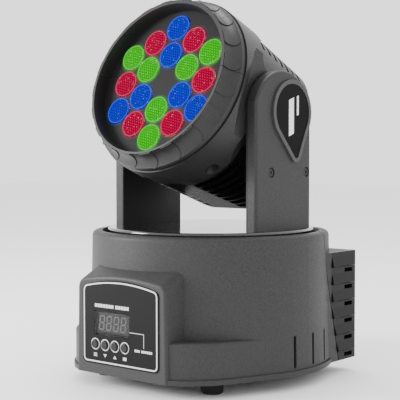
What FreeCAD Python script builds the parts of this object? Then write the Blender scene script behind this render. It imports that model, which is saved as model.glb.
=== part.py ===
"""A small moving head wash light: a round base, a two-armed yoke and a head of coloured LEDs.

Millimetres.  +Z is up, the base's front panel faces -Y, and the origin is where the pan
axis meets the surface that the four feet stand on.
"""
import FreeCAD
import Part
import math
import os
from FreeCAD import Vector as V

# ---------------------------------------------------------------- driving dimensions
# Base casing
FOOT_H = 10.0               # rubber feet lift the casing off the floor
FOOT_R_TOP = 9.0
FOOT_R_BOTTOM = 7.5
FOOT_X = 50.5
FOOT_Y = 60.0
BASE_TOP = 108.2            # rim around the turntable
DRUM_R_TOP = 89.4
DRUM_R_BOTTOM = 91.4
LIP_H = 3.5                 # rolled lip around the casing's lower edge
LIP_OUT = 1.4
RIM_R = 82.1                # opening that the turntable sits in
RIM_EDGE_R = 3.6            # rounding of the rim
WALL = 2.5
CORNER_TOP = 38.5           # raised front corners of the casing
CORNER_FRONT = 96.5
CORNER_FLAT_X = 42.0        # half the flat front, then two bends (x, distance in front)
CORNER_BEND_A = ((62.0, 81.5), (73.0, 62.0))
CORNER_BEND_B = ((79.5, 46.0), (85.5, 22.0))
CORNER_EDGE_R = 2.4
POD_FRONT = 98.8            # front pod that holds the control panel
POD_HALF_W_LOW = 43.2
POD_HALF_W_HIGH = 42.0
POD_SHOULDER = 75.5
POD_CROWN = 79.8
POD_RISE = 21.0             # how far the pod's roof climbs towards the drum
POD_DEPTH = 42.0
POD_ROOF_R = 7.0            # rounding between the pod's sides and its roof
POD_EDGE_R = 2.2            # rounding around the pod's face
REAR_HALF_W = 84.0
REAR_Y = 72.0
REAR_TOP = 92.0
REAR_START = 30.0
SPLIT_Y_TOP = 25.0          # parting line between the front shell and the rear cover
SPLIT_Y_LOW = 49.0
SPLIT_GAP = 0.7
TRAY_T = 2.5
SEAT_GAP = 0.3              # clearance between a plate and the casing around it
LOUVRE_N = 6
LOUVRE_PITCH = 12.8
LOUVRE_Z = 15.5
LOUVRE_OUT = 1.5
LOUVRE_Y = 40.0             # the ribs run from here to the back
LOUVRE_SLOT_H = 3.0
LOUVRE_SLOT_LEN = 10.6

# Control panel
PANEL_HALF_W = 36.4
PANEL_LOW = 17.3
PANEL_SHOULDER = 72.0
PANEL_CROWN = 77.4
PANEL_T = 0.6
WINDOW_X0 = -25.0
WINDOW_X1 = 9.2
WINDOW_Z0 = 38.0
WINDOW_Z1 = 55.0
WINDOW_T = 1.6
BUTTON_X0 = -23.7
BUTTON_Z = 31.3
BUTTON_R = 3.1
BUTTON_PITCH = BUTTON_R + 6.43
BUTTON_FIT = 0.3
BUTTON_TRAVEL = 0.6
BUTTON_OUT = 1.4
BUTTONS = ("menu", "down", "up", "enter")
BOARD_BACK = 11.0           # control board's face behind the pod's face
BOARD_T = 1.6

# Turntable and pan drive
DISC_R = 77.8
DISC_TOP = 110.5
DISC_BOTTOM = 101.0
DISC_ROOF = 4.0
CABLE_R = 2.4               # ways for the cables that go up into the arms
CHASSIS_Z = 94.0
CHASSIS_T = 2.5
SHAFT_R = 12.5
SHAFT_BORE = 8.0
SHAFT_LOW = 73.0
BEARING_R = 18.5
BEARING_H = 7.0
RACE_T = 1.8
HOUSING_R = 23.0
PAN_PULLEY_R = 33.0
PAN_MOTOR_PULLEY_R = 8.25   # a quarter of the pan pulley
PAN_MOTOR_Y = 54.0
BELT_W = 6.0
BELT_T = 1.3
BELT_FREE = 0.3             # the belt's clearance over a pulley
PULLEY_Z = 75.5
MOTOR_HALF = 17.5
MOTOR_LEN = 26.0

# Yoke arms
ARM_OUT = 68.5              # outer face of an arm
ARM_IN = 59.7               # inner face of an arm
ARM_HALF_D = 33.6
ARM_TOP = 225.0
ARM_SHOULDER = ARM_TOP - 23.3
ARM_SKIN = 1.5
BRACKET_T = 2.0
BADGE_T = 1.6
ARM_SCREW_Z = 152.0
ARM_SCREW_Y = 22.0

# Head, in its own frame: n runs along the beam, v across it towards the top
TILT_Z = ARM_TOP - 24.0     # height of the tilt axis, where the two shells also part
REST_TILT = 22.07           # beam above the horizontal at rest
BEAM_V = -5.3               # the beam's axis lies below the parting plane
HEAD_V = -4.6               # centre of the head's round outline
BEZEL_FRONT_N = 65.0
BEZEL_FRONT_R = 60.2
BEZEL_BULGE = 2.4
BEZEL_R = 66.6
GRIP_COUNT = 20             # raised finger grips around the bezel
GRIP_W = 9.6
GRIP_OUT = 0.8
GRIP_N = 52.0               # rounded end of a grip, next to the groove
GROOVE_N = 48.9
GROOVE_W = 0.9
GROOVE_DEPTH = 1.4
COLLAR_R = 67.6
COLLAR_BACK_N = 16.5
COLLAR_ROOM_N = 27.0        # the collar is solid behind this
SCALLOP_R = 29.0            # round bites out of the collar's back edge, above and below
SCALLOP_N = 10.0
NOTCH_R = 13.0              # smaller bites between the cheeks and the screw lobes
NOTCH_N = 12.5
NOTCH_V = 35.4
OPENING_R = 57.0
HEAD_HALF_W = 59.0          # flat cheeks that pass between the arms
CHEEK_FLARE = 9.0           # slope from the cheeks out to the collar's full round
CHEEK_FLARE_LEN = 14.6
BODY_HALF_W = (55.0, 51.0)  # the rear body's half width, where it leaves the collar and at its back
BODY_HALF_H = (64.5, 58.5)
BODY_CORNER = (46.0, 36.0)
BODY_START_N = 24.0
BODY_BACK_N = -54.0
BODY_EDGE_R = 3.0
HEAD_WALL = 2.4
SEAM_GAP = 0.15
VENT_N0 = 12.5
VENT_PITCH = 8.6
VENT_COUNT = 7
VENT_W_UPPER = 3.4
VENT_W_LOWER = 6.4
VENT_U = (13.5, 47.0)       # each bank of vents, from the spine out to the side
LENS_PITCH = 21.5
LENS_R = LENS_PITCH / 2.15   # a lens nearly fills its pitch
LENS_FRONT_N = 56.5
PLATE_N = 54.6
PLATE_T = 2.0
LED_BOARD_N = 45.0
LED_BOARD_T = 1.6
LED_BOARD_R = 54.0
SINK_BASE_T = 4.8
SINK_R = 44.0
SINK_DEPTH = 16.0
FIN_T = 1.6
FIN_PITCH = 7.0
FAN_HALF = 30.0
FAN_DEPTH = 15.0
FAN_BACK_N = 5.0
FAN_BORE = 28.4
BOSS_R = 3.6
SCREW_WELL_R = 4.4          # wells in the lower shell that the screws go up
SCREW_WELL_V = -34.0
FRONT_BOSS = (38.5, 24.5)   # u and n of the screw posts nearest the bezel
REAR_BOSS = (47.5, -45.8)

# Tilt drive
AXLE_R = 6.0
AXLE_BORE = 3.6
AXLE_FIT = 0.05
AXLE_TIP = 38.0             # inner end of each stub axle
BUSH_R = 9.0
TILT_PULLEY_R = 19.0
TILT_MOTOR_PULLEY_R = 6.333  # a third of the fixed pulley
TILT_BELT_X = 40.0
TILT_MOTOR_X = 36.0         # the tilt motor's face
MOTOR_SHAFT_R = 2.5
MOTOR_FIT = 0.05            # between a motor's shaft and its pulley
TILT_MOTOR_N = -32.5

# Connectors on the rear plate
PLATE_X = 62.0
PLATE_Z0 = 22.0
PLATE_Z1 = 80.0
REAR_PLATE_T = 2.0
INLET_X = -36.0
INLET_Z = 54.0
INLET_W = 24.0
INLET_H = 16.6
INLET_DEPTH = 16.0
DMX_IN_X = 10.0
DMX_OUT_X = 42.0
DMX_Z = 50.0
XLR_R = 12.0
XLR_CAVITY_R = 9.6
XLR_DEPTH = 13.0

# Mounting holes in the floor of the base, for a bracket
BRACKET_HOLE_X = 53.0
BRACKET_HOLE_R = 4.1


# ---------------------------------------------------------------- shape helpers
def box(x0, x1, y0, y1, z0, z1):
    return Part.makeBox(x1 - x0, y1 - y0, z1 - z0, V(x0, y0, z0))


def rod(r, start, end, r_end=None):
    """A cylinder, or a cone when r_end is given, from one point to another."""
    axis = V(*end) - V(*start)
    if r_end is None or abs(r_end - r) < 1e-6:
        return Part.makeCylinder(r, axis.Length, V(*start), axis)
    return Part.makeCone(r, r_end, axis.Length, V(*start), axis)


def post(r, x, y, z0, z1, r_end=None):
    return rod(r, (x, y, z0), (x, y, z1), r_end)


def across(r, x0, x1, y, z, r_end=None):
    return rod(r, (x0, y, z), (x1, y, z), r_end)


def beam_rod(r, u, v, n0, n1, r_end=None):
    """A cylinder along the beam in the head's frame, where the beam runs towards -Y."""
    return rod(r, (u, -n0, v), (u, -n1, v), r_end)


def join(shapes):
    whole = shapes[0].multiFuse(shapes[1:]) if len(shapes) > 1 else shapes[0]
    return whole.removeSplitter()


def group(shapes):
    return Part.makeCompound(shapes)


def cut(shape, tools):
    return shape.cut(tools) if tools else shape


def prism(points, direction):
    """A closed outline of straight runs, pushed along a direction."""
    corners = [V(*p) for p in points]
    return Part.Face(Part.makePolygon(corners + corners[:1])).extrude(V(*direction))


def mirrored(shape):
    """The same piece on the other side of the object's middle plane."""
    return shape.mirror(V(0, 0, 0), V(1, 0, 0))


def rounded_box(x0, x1, y0, y1, z0, z1, r, axis):
    """A box whose four edges along one axis are rounded."""
    block = box(x0, x1, y0, y1, z0, z1)
    along = {"x": V(1, 0, 0), "y": V(0, 1, 0), "z": V(0, 0, 1)}[axis]
    edges = [e for e in block.Edges if abs(abs(e.tangentAt(0).dot(along)) - 1) < 1e-6]
    return block.makeFillet(r, edges)


def lathe(outline, v):
    """Turn an outline of (radius, n) points about the beam-wise axis at height v.

    A point with a third value is reached by an arc that bulges by that much.
    """
    edges = []
    places = [V(r, -n, v) for r, n, *_ in outline]
    for i, point in enumerate(outline):
        start = places[i - 1]
        end = places[i]
        if len(point) == 3:
            middle = (start + end) * 0.5
            run = end - start
            side = V(-run.y, run.x, 0).normalize() * point[2]
            edges.append(Part.Arc(start, middle + side, end).toShape())
        else:
            edges.append(Part.LineSegment(start, end).toShape())
    face = Part.Face(Part.Wire(edges))
    return face.revolve(V(0, 0, v), V(0, 1, 0), 360)


def tilted(shape):
    """Carry a piece from the head's own frame to where it rests in the yoke."""
    turned = shape.copy()
    turned.rotate(V(0, 0, 0), V(1, 0, 0), -REST_TILT)
    turned.translate(V(0, 0, TILT_Z))
    return turned


def belt_loop(r_a, r_b, distance, width, grow):
    """A flat belt around two round pulleys in the XY plane, the second one along +Y."""
    def outline(extra):
        a = r_a + extra
        b = r_b + extra
        lean = math.asin((a - b) / distance)
        right_a = V(a * math.cos(lean), a * math.sin(lean), 0)
        right_b = V(b * math.cos(lean), distance + b * math.sin(lean), 0)
        left_a = V(-right_a.x, right_a.y, 0)
        left_b = V(-right_b.x, right_b.y, 0)
        edges = [
            Part.Arc(left_a, V(0, -a, 0), right_a).toShape(),
            Part.LineSegment(right_a, right_b).toShape(),
            Part.Arc(right_b, V(0, distance + b, 0), left_b).toShape(),
            Part.LineSegment(left_b, left_a).toShape(),
        ]
        return Part.Face(Part.Wire(edges)).extrude(V(0, 0, width))
    return outline(grow + BELT_T).cut(outline(grow))


def pulley(r, bore, width, flange):
    """A belt pulley on the Z axis with a flange at each end and shallow teeth."""
    teeth = max(12, int(r * 2))
    body = post(r, 0, 0, 0, width)
    nick = 0.35
    nicks = []
    for i in range(teeth):
        turn = 2 * math.pi * i / teeth
        nicks.append(post(nick, r * math.cos(turn), r * math.sin(turn), 0.8, width - 0.8))
    body = body.cut(nicks)
    rims = [post(r + flange, 0, 0, -1.0, 0), post(r + flange, 0, 0, width, width + 1.0)]
    return join([body] + rims).cut(post(bore, 0, 0, -2.0, width + 2.0))


def socket_screw(r, length, head_r, head_h):
    """A cap screw along +Z whose head sits below the origin."""
    shank = post(r, 0, 0, 0, length)
    head = post(head_r, 0, 0, -head_h, 0)
    slot_r = head_r * 0.5
    cross = [
        box(-slot_r, slot_r, -0.4, 0.4, -head_h - 1, -head_h * 0.45),
        box(-0.4, 0.4, -slot_r, slot_r, -head_h - 1, -head_h * 0.45),
    ]
    return join([shank, head]).cut(cross)


def placed(shape, at, direction=(0, 0, 1)):
    """Copy a piece that was made on +Z to a place, pointing along a direction."""
    turned = shape.copy()
    turned.Placement = FreeCAD.Placement(V(*at), FreeCAD.Rotation(V(0, 0, 1), V(*direction)))
    return turned


# ---------------------------------------------------------------- base casing
def corner_block(grow, top):
    """The raised front corners: a plan outline of a flat front and two bends a side."""
    right = [V(CORNER_FLAT_X, -CORNER_FRONT, FOOT_H)]
    right += [V(x, -y, FOOT_H) for x, y in CORNER_BEND_A + CORNER_BEND_B]
    left = [V(-p.x, p.y, p.z) for p in right]
    back = V(DRUM_R_TOP - 10, 0, FOOT_H)
    edges = [Part.LineSegment(left[0], right[0]).toShape()]
    for side in (right, left):
        edges.append(Part.Arc(side[0], side[1], side[2]).toShape())
        edges.append(Part.Arc(side[2], side[3], side[4]).toShape())
    edges.append(Part.LineSegment(right[4], back).toShape())
    edges.append(Part.LineSegment(left[4], V(-back.x, back.y, back.z)).toShape())
    edges.append(Part.LineSegment(back, V(-back.x, back.y, back.z)).toShape())
    plan = Part.Face(Part.Wire(Part.__sortEdges__(edges)))
    if grow:
        plan = plan.makeOffset2D(grow)
    return plan.extrude(V(0, 0, top - FOOT_H))


def edges_at(shape, test):
    """The edges of a shape whose bounding box passes a test."""
    return [e for e in shape.Edges if test(e.BoundBox)]


def pod_face(inset, y, lift):
    low = POD_HALF_W_LOW - inset
    high = POD_HALF_W_HIGH - inset
    shoulder = V(high, y, POD_SHOULDER - inset + lift)
    crown = V(0, y, POD_CROWN - inset + lift)
    edges = [
        Part.LineSegment(V(-low, y, FOOT_H), V(low, y, FOOT_H)).toShape(),
        Part.LineSegment(V(low, y, FOOT_H), shoulder).toShape(),
        Part.Arc(shoulder, crown, V(-shoulder.x, y, shoulder.z)).toShape(),
        Part.LineSegment(V(-shoulder.x, y, shoulder.z), V(-low, y, FOOT_H)).toShape(),
    ]
    return Part.Wire(edges)


def pod_block(inset):
    front = -POD_FRONT + inset
    back = front + POD_DEPTH
    pod = Part.makeLoft([pod_face(inset, front, 0), pod_face(inset, back, POD_RISE)], True)
    roof = edges_at(pod, lambda b: b.YLength > POD_DEPTH / 2 and b.ZMin > FOOT_H + 1)
    return pod.makeFillet(POD_ROOF_R - inset, roof)


def casing_solid(inset):
    """The whole base as one closed body, shrunk by an inset on every outer face."""
    top = BASE_TOP - inset
    drum = post(DRUM_R_BOTTOM - inset, 0, 0, FOOT_H, top, DRUM_R_TOP - inset)
    half = REAR_HALF_W - inset
    rear = box(-half, half, REAR_START, REAR_Y - inset, FOOT_H, REAR_TOP - inset)
    corners = corner_block(-inset, CORNER_TOP - inset)
    pod = pod_block(inset)
    if inset == 0:
        top_edges = edges_at(corners, lambda b: b.ZMin > CORNER_TOP - 0.01 and b.YMin < -1)
        corners = corners.makeFillet(CORNER_EDGE_R, top_edges)
        face = edges_at(pod, lambda b: b.YMax < 0.01 - POD_FRONT and b.ZMax > FOOT_H + 0.01)
        pod = pod.makeFillet(POD_EDGE_R, face)
    body = join([drum, corners, pod, rear])
    return body.common(box(-200, 200, -200, REAR_Y - inset, 0, 200))


def casing_lip():
    """The rolled lower edge that runs around the drum and the front corners."""
    ring = post(DRUM_R_BOTTOM + LIP_OUT, 0, 0, FOOT_H, FOOT_H + LIP_H)
    skirt = corner_block(LIP_OUT, FOOT_H + LIP_H)
    return join([ring, skirt]).common(box(-200, 200, -200, REAR_Y, 0, 200))


def split_half(front):
    """Everything on one side of the leaning plane that parts the casing."""
    lean = (SPLIT_Y_LOW - SPLIT_Y_TOP) / (BASE_TOP - FOOT_H)
    shift = -SPLIT_GAP / 2 if front else SPLIT_GAP / 2
    y_low = SPLIT_Y_LOW + lean * FOOT_H + shift
    y_high = SPLIT_Y_LOW - lean * (200 - FOOT_H) + shift
    far = -300 if front else 300
    return prism([(-200, far, 0), (-200, y_low, 0), (-200, y_high, 200), (-200, far, 200)],
                 (400, 0, 0))


def side_slots():
    """Three upright air slots in each side of the drum."""
    tools = []
    for degrees in (-10.0, 3.0, 15.0, 165.0, 177.0, 190.0):
        slot = rounded_box(DRUM_R_BOTTOM - 9, DRUM_R_BOTTOM + 4, -1.3, 1.3, 15.0, 38.0, 1.2, "x")
        slot.rotate(V(0, 0, 0), V(0, 0, 1), degrees)
        tools.append(slot)
    return tools


def casing_shell():
    outer = casing_solid(0)
    rim = [e for e in outer.Edges
           if abs(e.BoundBox.ZMin - BASE_TOP) < 0.01 and e.BoundBox.ZLength < 0.01]
    outer = join([outer.makeFillet(RIM_EDGE_R, rim), casing_lip()])
    hollow = casing_solid(WALL)
    opening = post(RIM_R, 0, 0, CHASSIS_Z, BASE_TOP + 5)
    return outer.cut([hollow, opening])


def panel_cutouts():
    """Openings in the pod's face for the display and the buttons."""
    y0 = -POD_FRONT - 2
    y1 = -POD_FRONT + WALL + 1
    tools = [box(WINDOW_X0, WINDOW_X1, y0, y1, WINDOW_Z0, WINDOW_Z1)]
    for i in range(len(BUTTONS)):
        x = BUTTON_X0 + i * BUTTON_PITCH
        tools.append(rod(BUTTON_R + BUTTON_FIT, (x, y0, BUTTON_Z), (x, y1, BUTTON_Z)))
    return tools


def base_front_shell(shell):
    front = shell.common(split_half(True))
    return cut(front, side_slots() + panel_cutouts())


def louvres():
    """Stepped ribs down both sides of the rear cover."""
    ribs = []
    for i in range(LOUVRE_N):
        z = LOUVRE_Z + i * LOUVRE_PITCH
        top = z + LOUVRE_PITCH - LOUVRE_SLOT_H - 0.5
        x = REAR_HALF_W
        points = [(x - 1, LOUVRE_Y, z), (x + LOUVRE_OUT, LOUVRE_Y, z + 2.0),
                  (x, LOUVRE_Y, top), (x - 1, LOUVRE_Y, top)]
        rib = prism(points, (0, REAR_Y - LOUVRE_Y - 2.0, 0))
        ribs += [rib, mirrored(rib)]
    return ribs


def louvre_slots():
    tools = []
    y1 = REAR_Y - WALL - 2.0
    for i in range(LOUVRE_N):
        z = LOUVRE_Z + i * LOUVRE_PITCH - LOUVRE_SLOT_H - 0.2
        slot = box(REAR_HALF_W - 6, REAR_HALF_W + 5, y1 - LOUVRE_SLOT_LEN, y1, z, z + LOUVRE_SLOT_H)
        tools += [slot, mirrored(slot)]
    return tools


def base_rear_cover(shell):
    rear = shell.common(split_half(False))
    ribs = group(louvres()).common(split_half(False))
    rear = join([rear] + ribs.Solids)
    opening = rounded_box(-PLATE_X + 4, PLATE_X - 4, REAR_Y - 10, REAR_Y + 5,
                          PLATE_Z0 + 4, PLATE_Z1 - 4, 4.0, "y")
    return cut(rear, louvre_slots() + [opening])


def foot_places():
    return [(sx * FOOT_X, sy * FOOT_Y) for sx in (-1, 1) for sy in (-1, 1)]


def post_places():
    """Corners where the chassis plate stands on the tray."""
    return [(sx * 58.0, y) for sx in (-1, 1) for y in (-50.0, 44.0)]


def bottom_tray():
    slab = casing_solid(WALL + SEAT_GAP).common(box(-200, 200, -200, 200, FOOT_H, FOOT_H + TRAY_T))
    tools = [post(2.2, x, y, 0, 20) for x, y in foot_places()]
    tools += [post(BRACKET_HOLE_R, sx * BRACKET_HOLE_X, 0, 0, 20) for sx in (-1, 1)]
    for i in range(7):
        x = -24 + 8 * i
        tools.append(rounded_box(x - 1.5, x + 1.5, 12, 40, 0, 20, 1.4, "z"))
    return slab.cut(tools)


def rubber_feet():
    feet = []
    for x, y in foot_places():
        pad = post(FOOT_R_BOTTOM, x, y, 0, FOOT_H, FOOT_R_TOP)
        feet.append(pad.cut([post(2.2, x, y, -1, 20), post(4.6, x, y, -1, 4.0)]))
    return group(feet)


def foot_screws():
    screw = socket_screw(2.0, 12.0, 4.0, 2.4)
    nut = post(4.0, 0, 0, 0, 3.0).cut(post(2.0, 0, 0, -1, 5))
    pieces = []
    for x, y in foot_places():
        pieces.append(placed(screw, (x, y, 4.0)))
        pieces.append(placed(nut, (x, y, FOOT_H + TRAY_T)))
    return group(pieces)


def chassis_plate():
    plate = post(RIM_R + 2.5, 0, 0, CHASSIS_Z, CHASSIS_Z + CHASSIS_T)
    plate = plate.common(box(-200, 200, -200, REAR_Y - WALL - 2, 0, 200))
    housing = post(HOUSING_R, 0, 0, CHASSIS_Z - BEARING_H, CHASSIS_Z)
    plate = join([plate, housing, pan_motor_shelf()])
    tools = [post(BEARING_R, 0, 0, CHASSIS_Z - BEARING_H - 1, CHASSIS_Z)]
    tools.append(post(SHAFT_R + 2.0, 0, 0, CHASSIS_Z - 1, CHASSIS_Z + 10))
    tools += [post(2.1, x, y, 0, 200) for x, y in post_places()]
    return plate.cut(tools)


def chassis_posts():
    """Four steel standoffs between the tray and the chassis plate, with their screws."""
    pieces = []
    for x, y in post_places():
        leg = post(4.5, x, y, FOOT_H + TRAY_T, CHASSIS_Z)
        stud = post(2.0, x, y, CHASSIS_Z, CHASSIS_Z + CHASSIS_T)
        head = post(3.6, x, y, CHASSIS_Z + CHASSIS_T, CHASSIS_Z + CHASSIS_T + 2.0)
        pieces.append(join([leg, stud, head]))
    return group(pieces)


# ---------------------------------------------------------------- control panel
def panel_overlay():
    y = -POD_FRONT - PANEL_T
    right = V(PANEL_HALF_W, y, PANEL_SHOULDER)
    left = V(-PANEL_HALF_W, y, PANEL_SHOULDER)
    edges = [
        Part.LineSegment(V(-PANEL_HALF_W, y, PANEL_LOW), V(PANEL_HALF_W, y, PANEL_LOW)).toShape(),
        Part.LineSegment(V(PANEL_HALF_W, y, PANEL_LOW), right).toShape(),
        Part.Arc(right, V(0, y, PANEL_CROWN), left).toShape(),
        Part.LineSegment(left, V(-PANEL_HALF_W, y, PANEL_LOW)).toShape(),
    ]
    sheet = Part.Face(Part.Wire(edges)).extrude(V(0, PANEL_T, 0))
    upright = [e for e in sheet.Edges if e.BoundBox.YLength > PANEL_T * 0.9]
    return cut(sheet.makeFillet(4.0, upright), panel_cutouts())


def display_window():
    y0 = -POD_FRONT - PANEL_T
    return box(WINDOW_X0 + 0.2, WINDOW_X1 - 0.2, y0, y0 + WINDOW_T, WINDOW_Z0 + 0.2, WINDOW_Z1 - 0.2)


def display_module():
    """A four-digit display block with raised segments."""
    face = -POD_FRONT - PANEL_T + WINDOW_T + 0.7
    body = box(WINDOW_X0 + 1.4, WINDOW_X1 - 1.4, face, -POD_FRONT + BOARD_BACK,
               WINDOW_Z0 + 1.2, WINDOW_Z1 - 1.2)
    digit_w = (WINDOW_X1 - WINDOW_X0 - 6.0) / 4
    bars = []
    for i in range(4):
        x = WINDOW_X0 + 3.0 + digit_w * (i + 0.5)
        z = (WINDOW_Z0 + WINDOW_Z1) / 2
        for dz in (-4.5, 0.0, 4.5):
            bars.append(box(x - 1.7, x + 1.7, face - 0.3, face, z + dz - 0.45, z + dz + 0.45))
        for dx in (-2.4, 2.4):
            for dz in (-2.25, 2.25):
                bars.append(box(x + dx - 0.45, x + dx + 0.45, face - 0.3, face,
                                z + dz - 1.6, z + dz + 1.6))
    return join([body] + bars)


def control_board():
    y = -POD_FRONT + BOARD_BACK
    board = box(-34, 34, y, y + BOARD_T, 22, 70)
    chips = [box(14, 28, y + BOARD_T, y + BOARD_T + 2.4, 34, 48),
             box(-30, -16, y + BOARD_T, y + BOARD_T + 9, 26, 34)]
    switches = []
    for i in range(len(BUTTONS)):
        x = BUTTON_X0 + i * BUTTON_PITCH
        switches.append(box(x - 3, x + 3, y - 3.5, y, BUTTON_Z - 3, BUTTON_Z + 3))
    return join([board] + chips + switches)


def button(index):
    """A push button: a domed cap, a stem and a collar that keeps it behind the face."""
    x = BUTTON_X0 + index * BUTTON_PITCH
    front = -POD_FRONT - PANEL_T - BUTTON_OUT
    inner = -POD_FRONT + WALL
    tip = -POD_FRONT + BOARD_BACK - 3.5 - BUTTON_TRAVEL - 0.1
    cap = rod(BUTTON_R, (x, front, BUTTON_Z), (x, inner + 1.0, BUTTON_Z))
    rim = [e for e in cap.Edges if abs(e.BoundBox.YMax - front) < 0.01]
    cap = cap.makeFillet(0.7, rim)
    collar = rod(BUTTON_R + 1.1, (x, inner + 0.2, BUTTON_Z), (x, inner + 1.2, BUTTON_Z))
    stem = rod(1.6, (x, inner, BUTTON_Z), (x, tip, BUTTON_Z))
    return join([cap, collar, stem])


# ---------------------------------------------------------------- rear connectors
def connector_plate():
    y = REAR_Y - WALL
    plate = rounded_box(-PLATE_X, PLATE_X, y - REAR_PLATE_T, y, PLATE_Z0, PLATE_Z1, 3.0, "y")
    tools = [box(INLET_X - 13.8, INLET_X + 13.8, y - 5, y + 5, INLET_Z - 23.8, INLET_Z + 10.4)]
    for x in (DMX_IN_X, DMX_OUT_X):
        tools.append(rod(XLR_R, (x, y - 5, DMX_Z), (x, y + 5, DMX_Z)))
        for sx in (-1, 1):
            hole_x = x + sx * 9.5
            hole_z = DMX_Z + sx * 12
            tools.append(rod(1.5, (hole_x, y - 5, hole_z), (hole_x, y + 5, hole_z)))
    tools.append(box(DMX_OUT_X - 3.6, DMX_OUT_X + 3.6, y - 5, y + 5, DMX_Z + 9, DMX_Z + 14.4))
    return plate.cut(tools)


def power_inlet():
    """A three-pole appliance inlet with a fuse drawer under it, in one moulding."""
    y = REAR_Y - WALL
    flange = rounded_box(INLET_X - 16, INLET_X + 16, y, y + 2.2, INLET_Z - 26, INLET_Z + 12.5, 2.5, "y")
    body = box(INLET_X - 13.5, INLET_X + 13.5, y - 20, y, INLET_Z - 23.5, INLET_Z + 10.1)
    half_w = INLET_W / 2
    half_h = INLET_H / 2
    cavity = prism([(INLET_X - half_w, y + 3, INLET_Z - half_h),
                    (INLET_X + half_w, y + 3, INLET_Z - half_h),
                    (INLET_X + half_w, y + 3, INLET_Z + half_h - 5),
                    (INLET_X + half_w - 5, y + 3, INLET_Z + half_h),
                    (INLET_X - half_w + 5, y + 3, INLET_Z + half_h),
                    (INLET_X - half_w, y + 3, INLET_Z + half_h - 5)], (0, -INLET_DEPTH - 3, 0))
    drawer = box(INLET_X - 11.3, INLET_X + 11.3, y - 17, y + 3, INLET_Z - 22.3, INLET_Z - 11.7)
    return join([flange, body]).cut([cavity, drawer])


def power_inlet_pins():
    y = REAR_Y - WALL - INLET_DEPTH
    pins = []
    for dx, dz in ((-7.0, -2.0), (0.0, 2.0), (7.0, -2.0)):
        x = INLET_X + dx
        z = INLET_Z + dz
        pins.append(box(x - 1.0, x + 1.0, y, y + 10.5, z - 2.0, z + 2.0))
    return pins


def fuse_drawer():
    y = REAR_Y - WALL
    tray = box(INLET_X - 11.0, INLET_X + 11.0, y - 15, y + 2.6, INLET_Z - 22.0, INLET_Z - 12.0)
    scoop = box(INLET_X - 5, INLET_X + 5, y + 1.2, y + 5, INLET_Z - 23, INLET_Z - 19.5)
    well = box(INLET_X - 9.5, INLET_X + 9.5, y - 13.5, y - 3, INLET_Z - 20.0, INLET_Z - 11)
    return tray.cut([scoop, well])


def xlr_flange(x):
    y = REAR_Y - WALL
    flange = rounded_box(x - 13, x + 13, y, y + 2.0, DMX_Z - 15.5, DMX_Z + 15.5, 3.0, "y")
    holes = [rod(1.6, (x + sx * 9.5, y - 5, DMX_Z + sx * 12), (x + sx * 9.5, y + 5, DMX_Z + sx * 12))
             for sx in (-1, 1)]
    return flange.cut(holes)


def dmx_in_socket():
    """A three-pin panel plug: a round well with the pins standing in it."""
    y = REAR_Y - WALL
    barrel = rod(XLR_R - 0.2, (DMX_IN_X, y - XLR_DEPTH - 4, DMX_Z), (DMX_IN_X, y, DMX_Z))
    well = rod(XLR_CAVITY_R, (DMX_IN_X, y - XLR_DEPTH, DMX_Z), (DMX_IN_X, y + 5, DMX_Z))
    key = box(DMX_IN_X - 1.2, DMX_IN_X + 1.2, y - XLR_DEPTH, y + 1.0,
              DMX_Z + XLR_CAVITY_R - 1.3, DMX_Z + XLR_CAVITY_R + 0.5)
    return join([join([xlr_flange(DMX_IN_X), barrel]).cut(well), key])


def dmx_pins(x, y, length, r):
    pins = []
    for degrees in (215.0, 325.0, 90.0):
        turn = math.radians(degrees)
        px = x + 4.6 * math.cos(turn)
        pz = DMX_Z + 4.6 * math.sin(turn)
        pins.append(rod(r, (px, y, pz), (px, y + length, pz)))
    return pins


def connector_pins():
    """The brass blades of the mains inlet and the round pins of the data inlet."""
    return group(power_inlet_pins() + dmx_pins(DMX_IN_X, REAR_Y - WALL - XLR_DEPTH, 8.0, 1.2))


def dmx_out_socket():
    """A three-hole panel socket with an annular groove and a press latch at its top."""
    y = REAR_Y - WALL
    barrel = rod(XLR_R - 0.2, (DMX_OUT_X, y - XLR_DEPTH - 4, DMX_Z), (DMX_OUT_X, y, DMX_Z))
    body = join([xlr_flange(DMX_OUT_X), barrel])
    groove = rod(XLR_CAVITY_R, (DMX_OUT_X, y - 10, DMX_Z), (DMX_OUT_X, y + 5, DMX_Z))
    core = rod(8.0, (DMX_OUT_X, y - 11, DMX_Z), (DMX_OUT_X, y + 6, DMX_Z))
    latch_way = box(DMX_OUT_X - 3.4, DMX_OUT_X + 3.4, y - 6, y + 5, DMX_Z + 9.0, DMX_Z + 14.2)
    body = body.cut([groove.cut(core), latch_way])
    return body.cut(dmx_pins(DMX_OUT_X, y - 10, 16.0, 1.4))


def dmx_out_latch():
    y = REAR_Y - WALL
    tab = box(DMX_OUT_X - 3.1, DMX_OUT_X + 3.1, y - 2.5, y + 3.2, DMX_Z + 9.9, DMX_Z + 13.9)
    front = [e for e in tab.Edges if abs(e.BoundBox.YMin - (y + 3.2)) < 0.01]
    return tab.makeFillet(0.8, front)


def connector_screws():
    y = REAR_Y - WALL + 2.0
    screw = socket_screw(1.45, 7.0, 2.6, 1.4)
    pieces = []
    for x in (DMX_IN_X, DMX_OUT_X):
        for sx in (-1, 1):
            pieces.append(placed(screw, (x + sx * 9.5, y, DMX_Z + sx * 12), (0, -1, 0)))
    return group(pieces)


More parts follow.
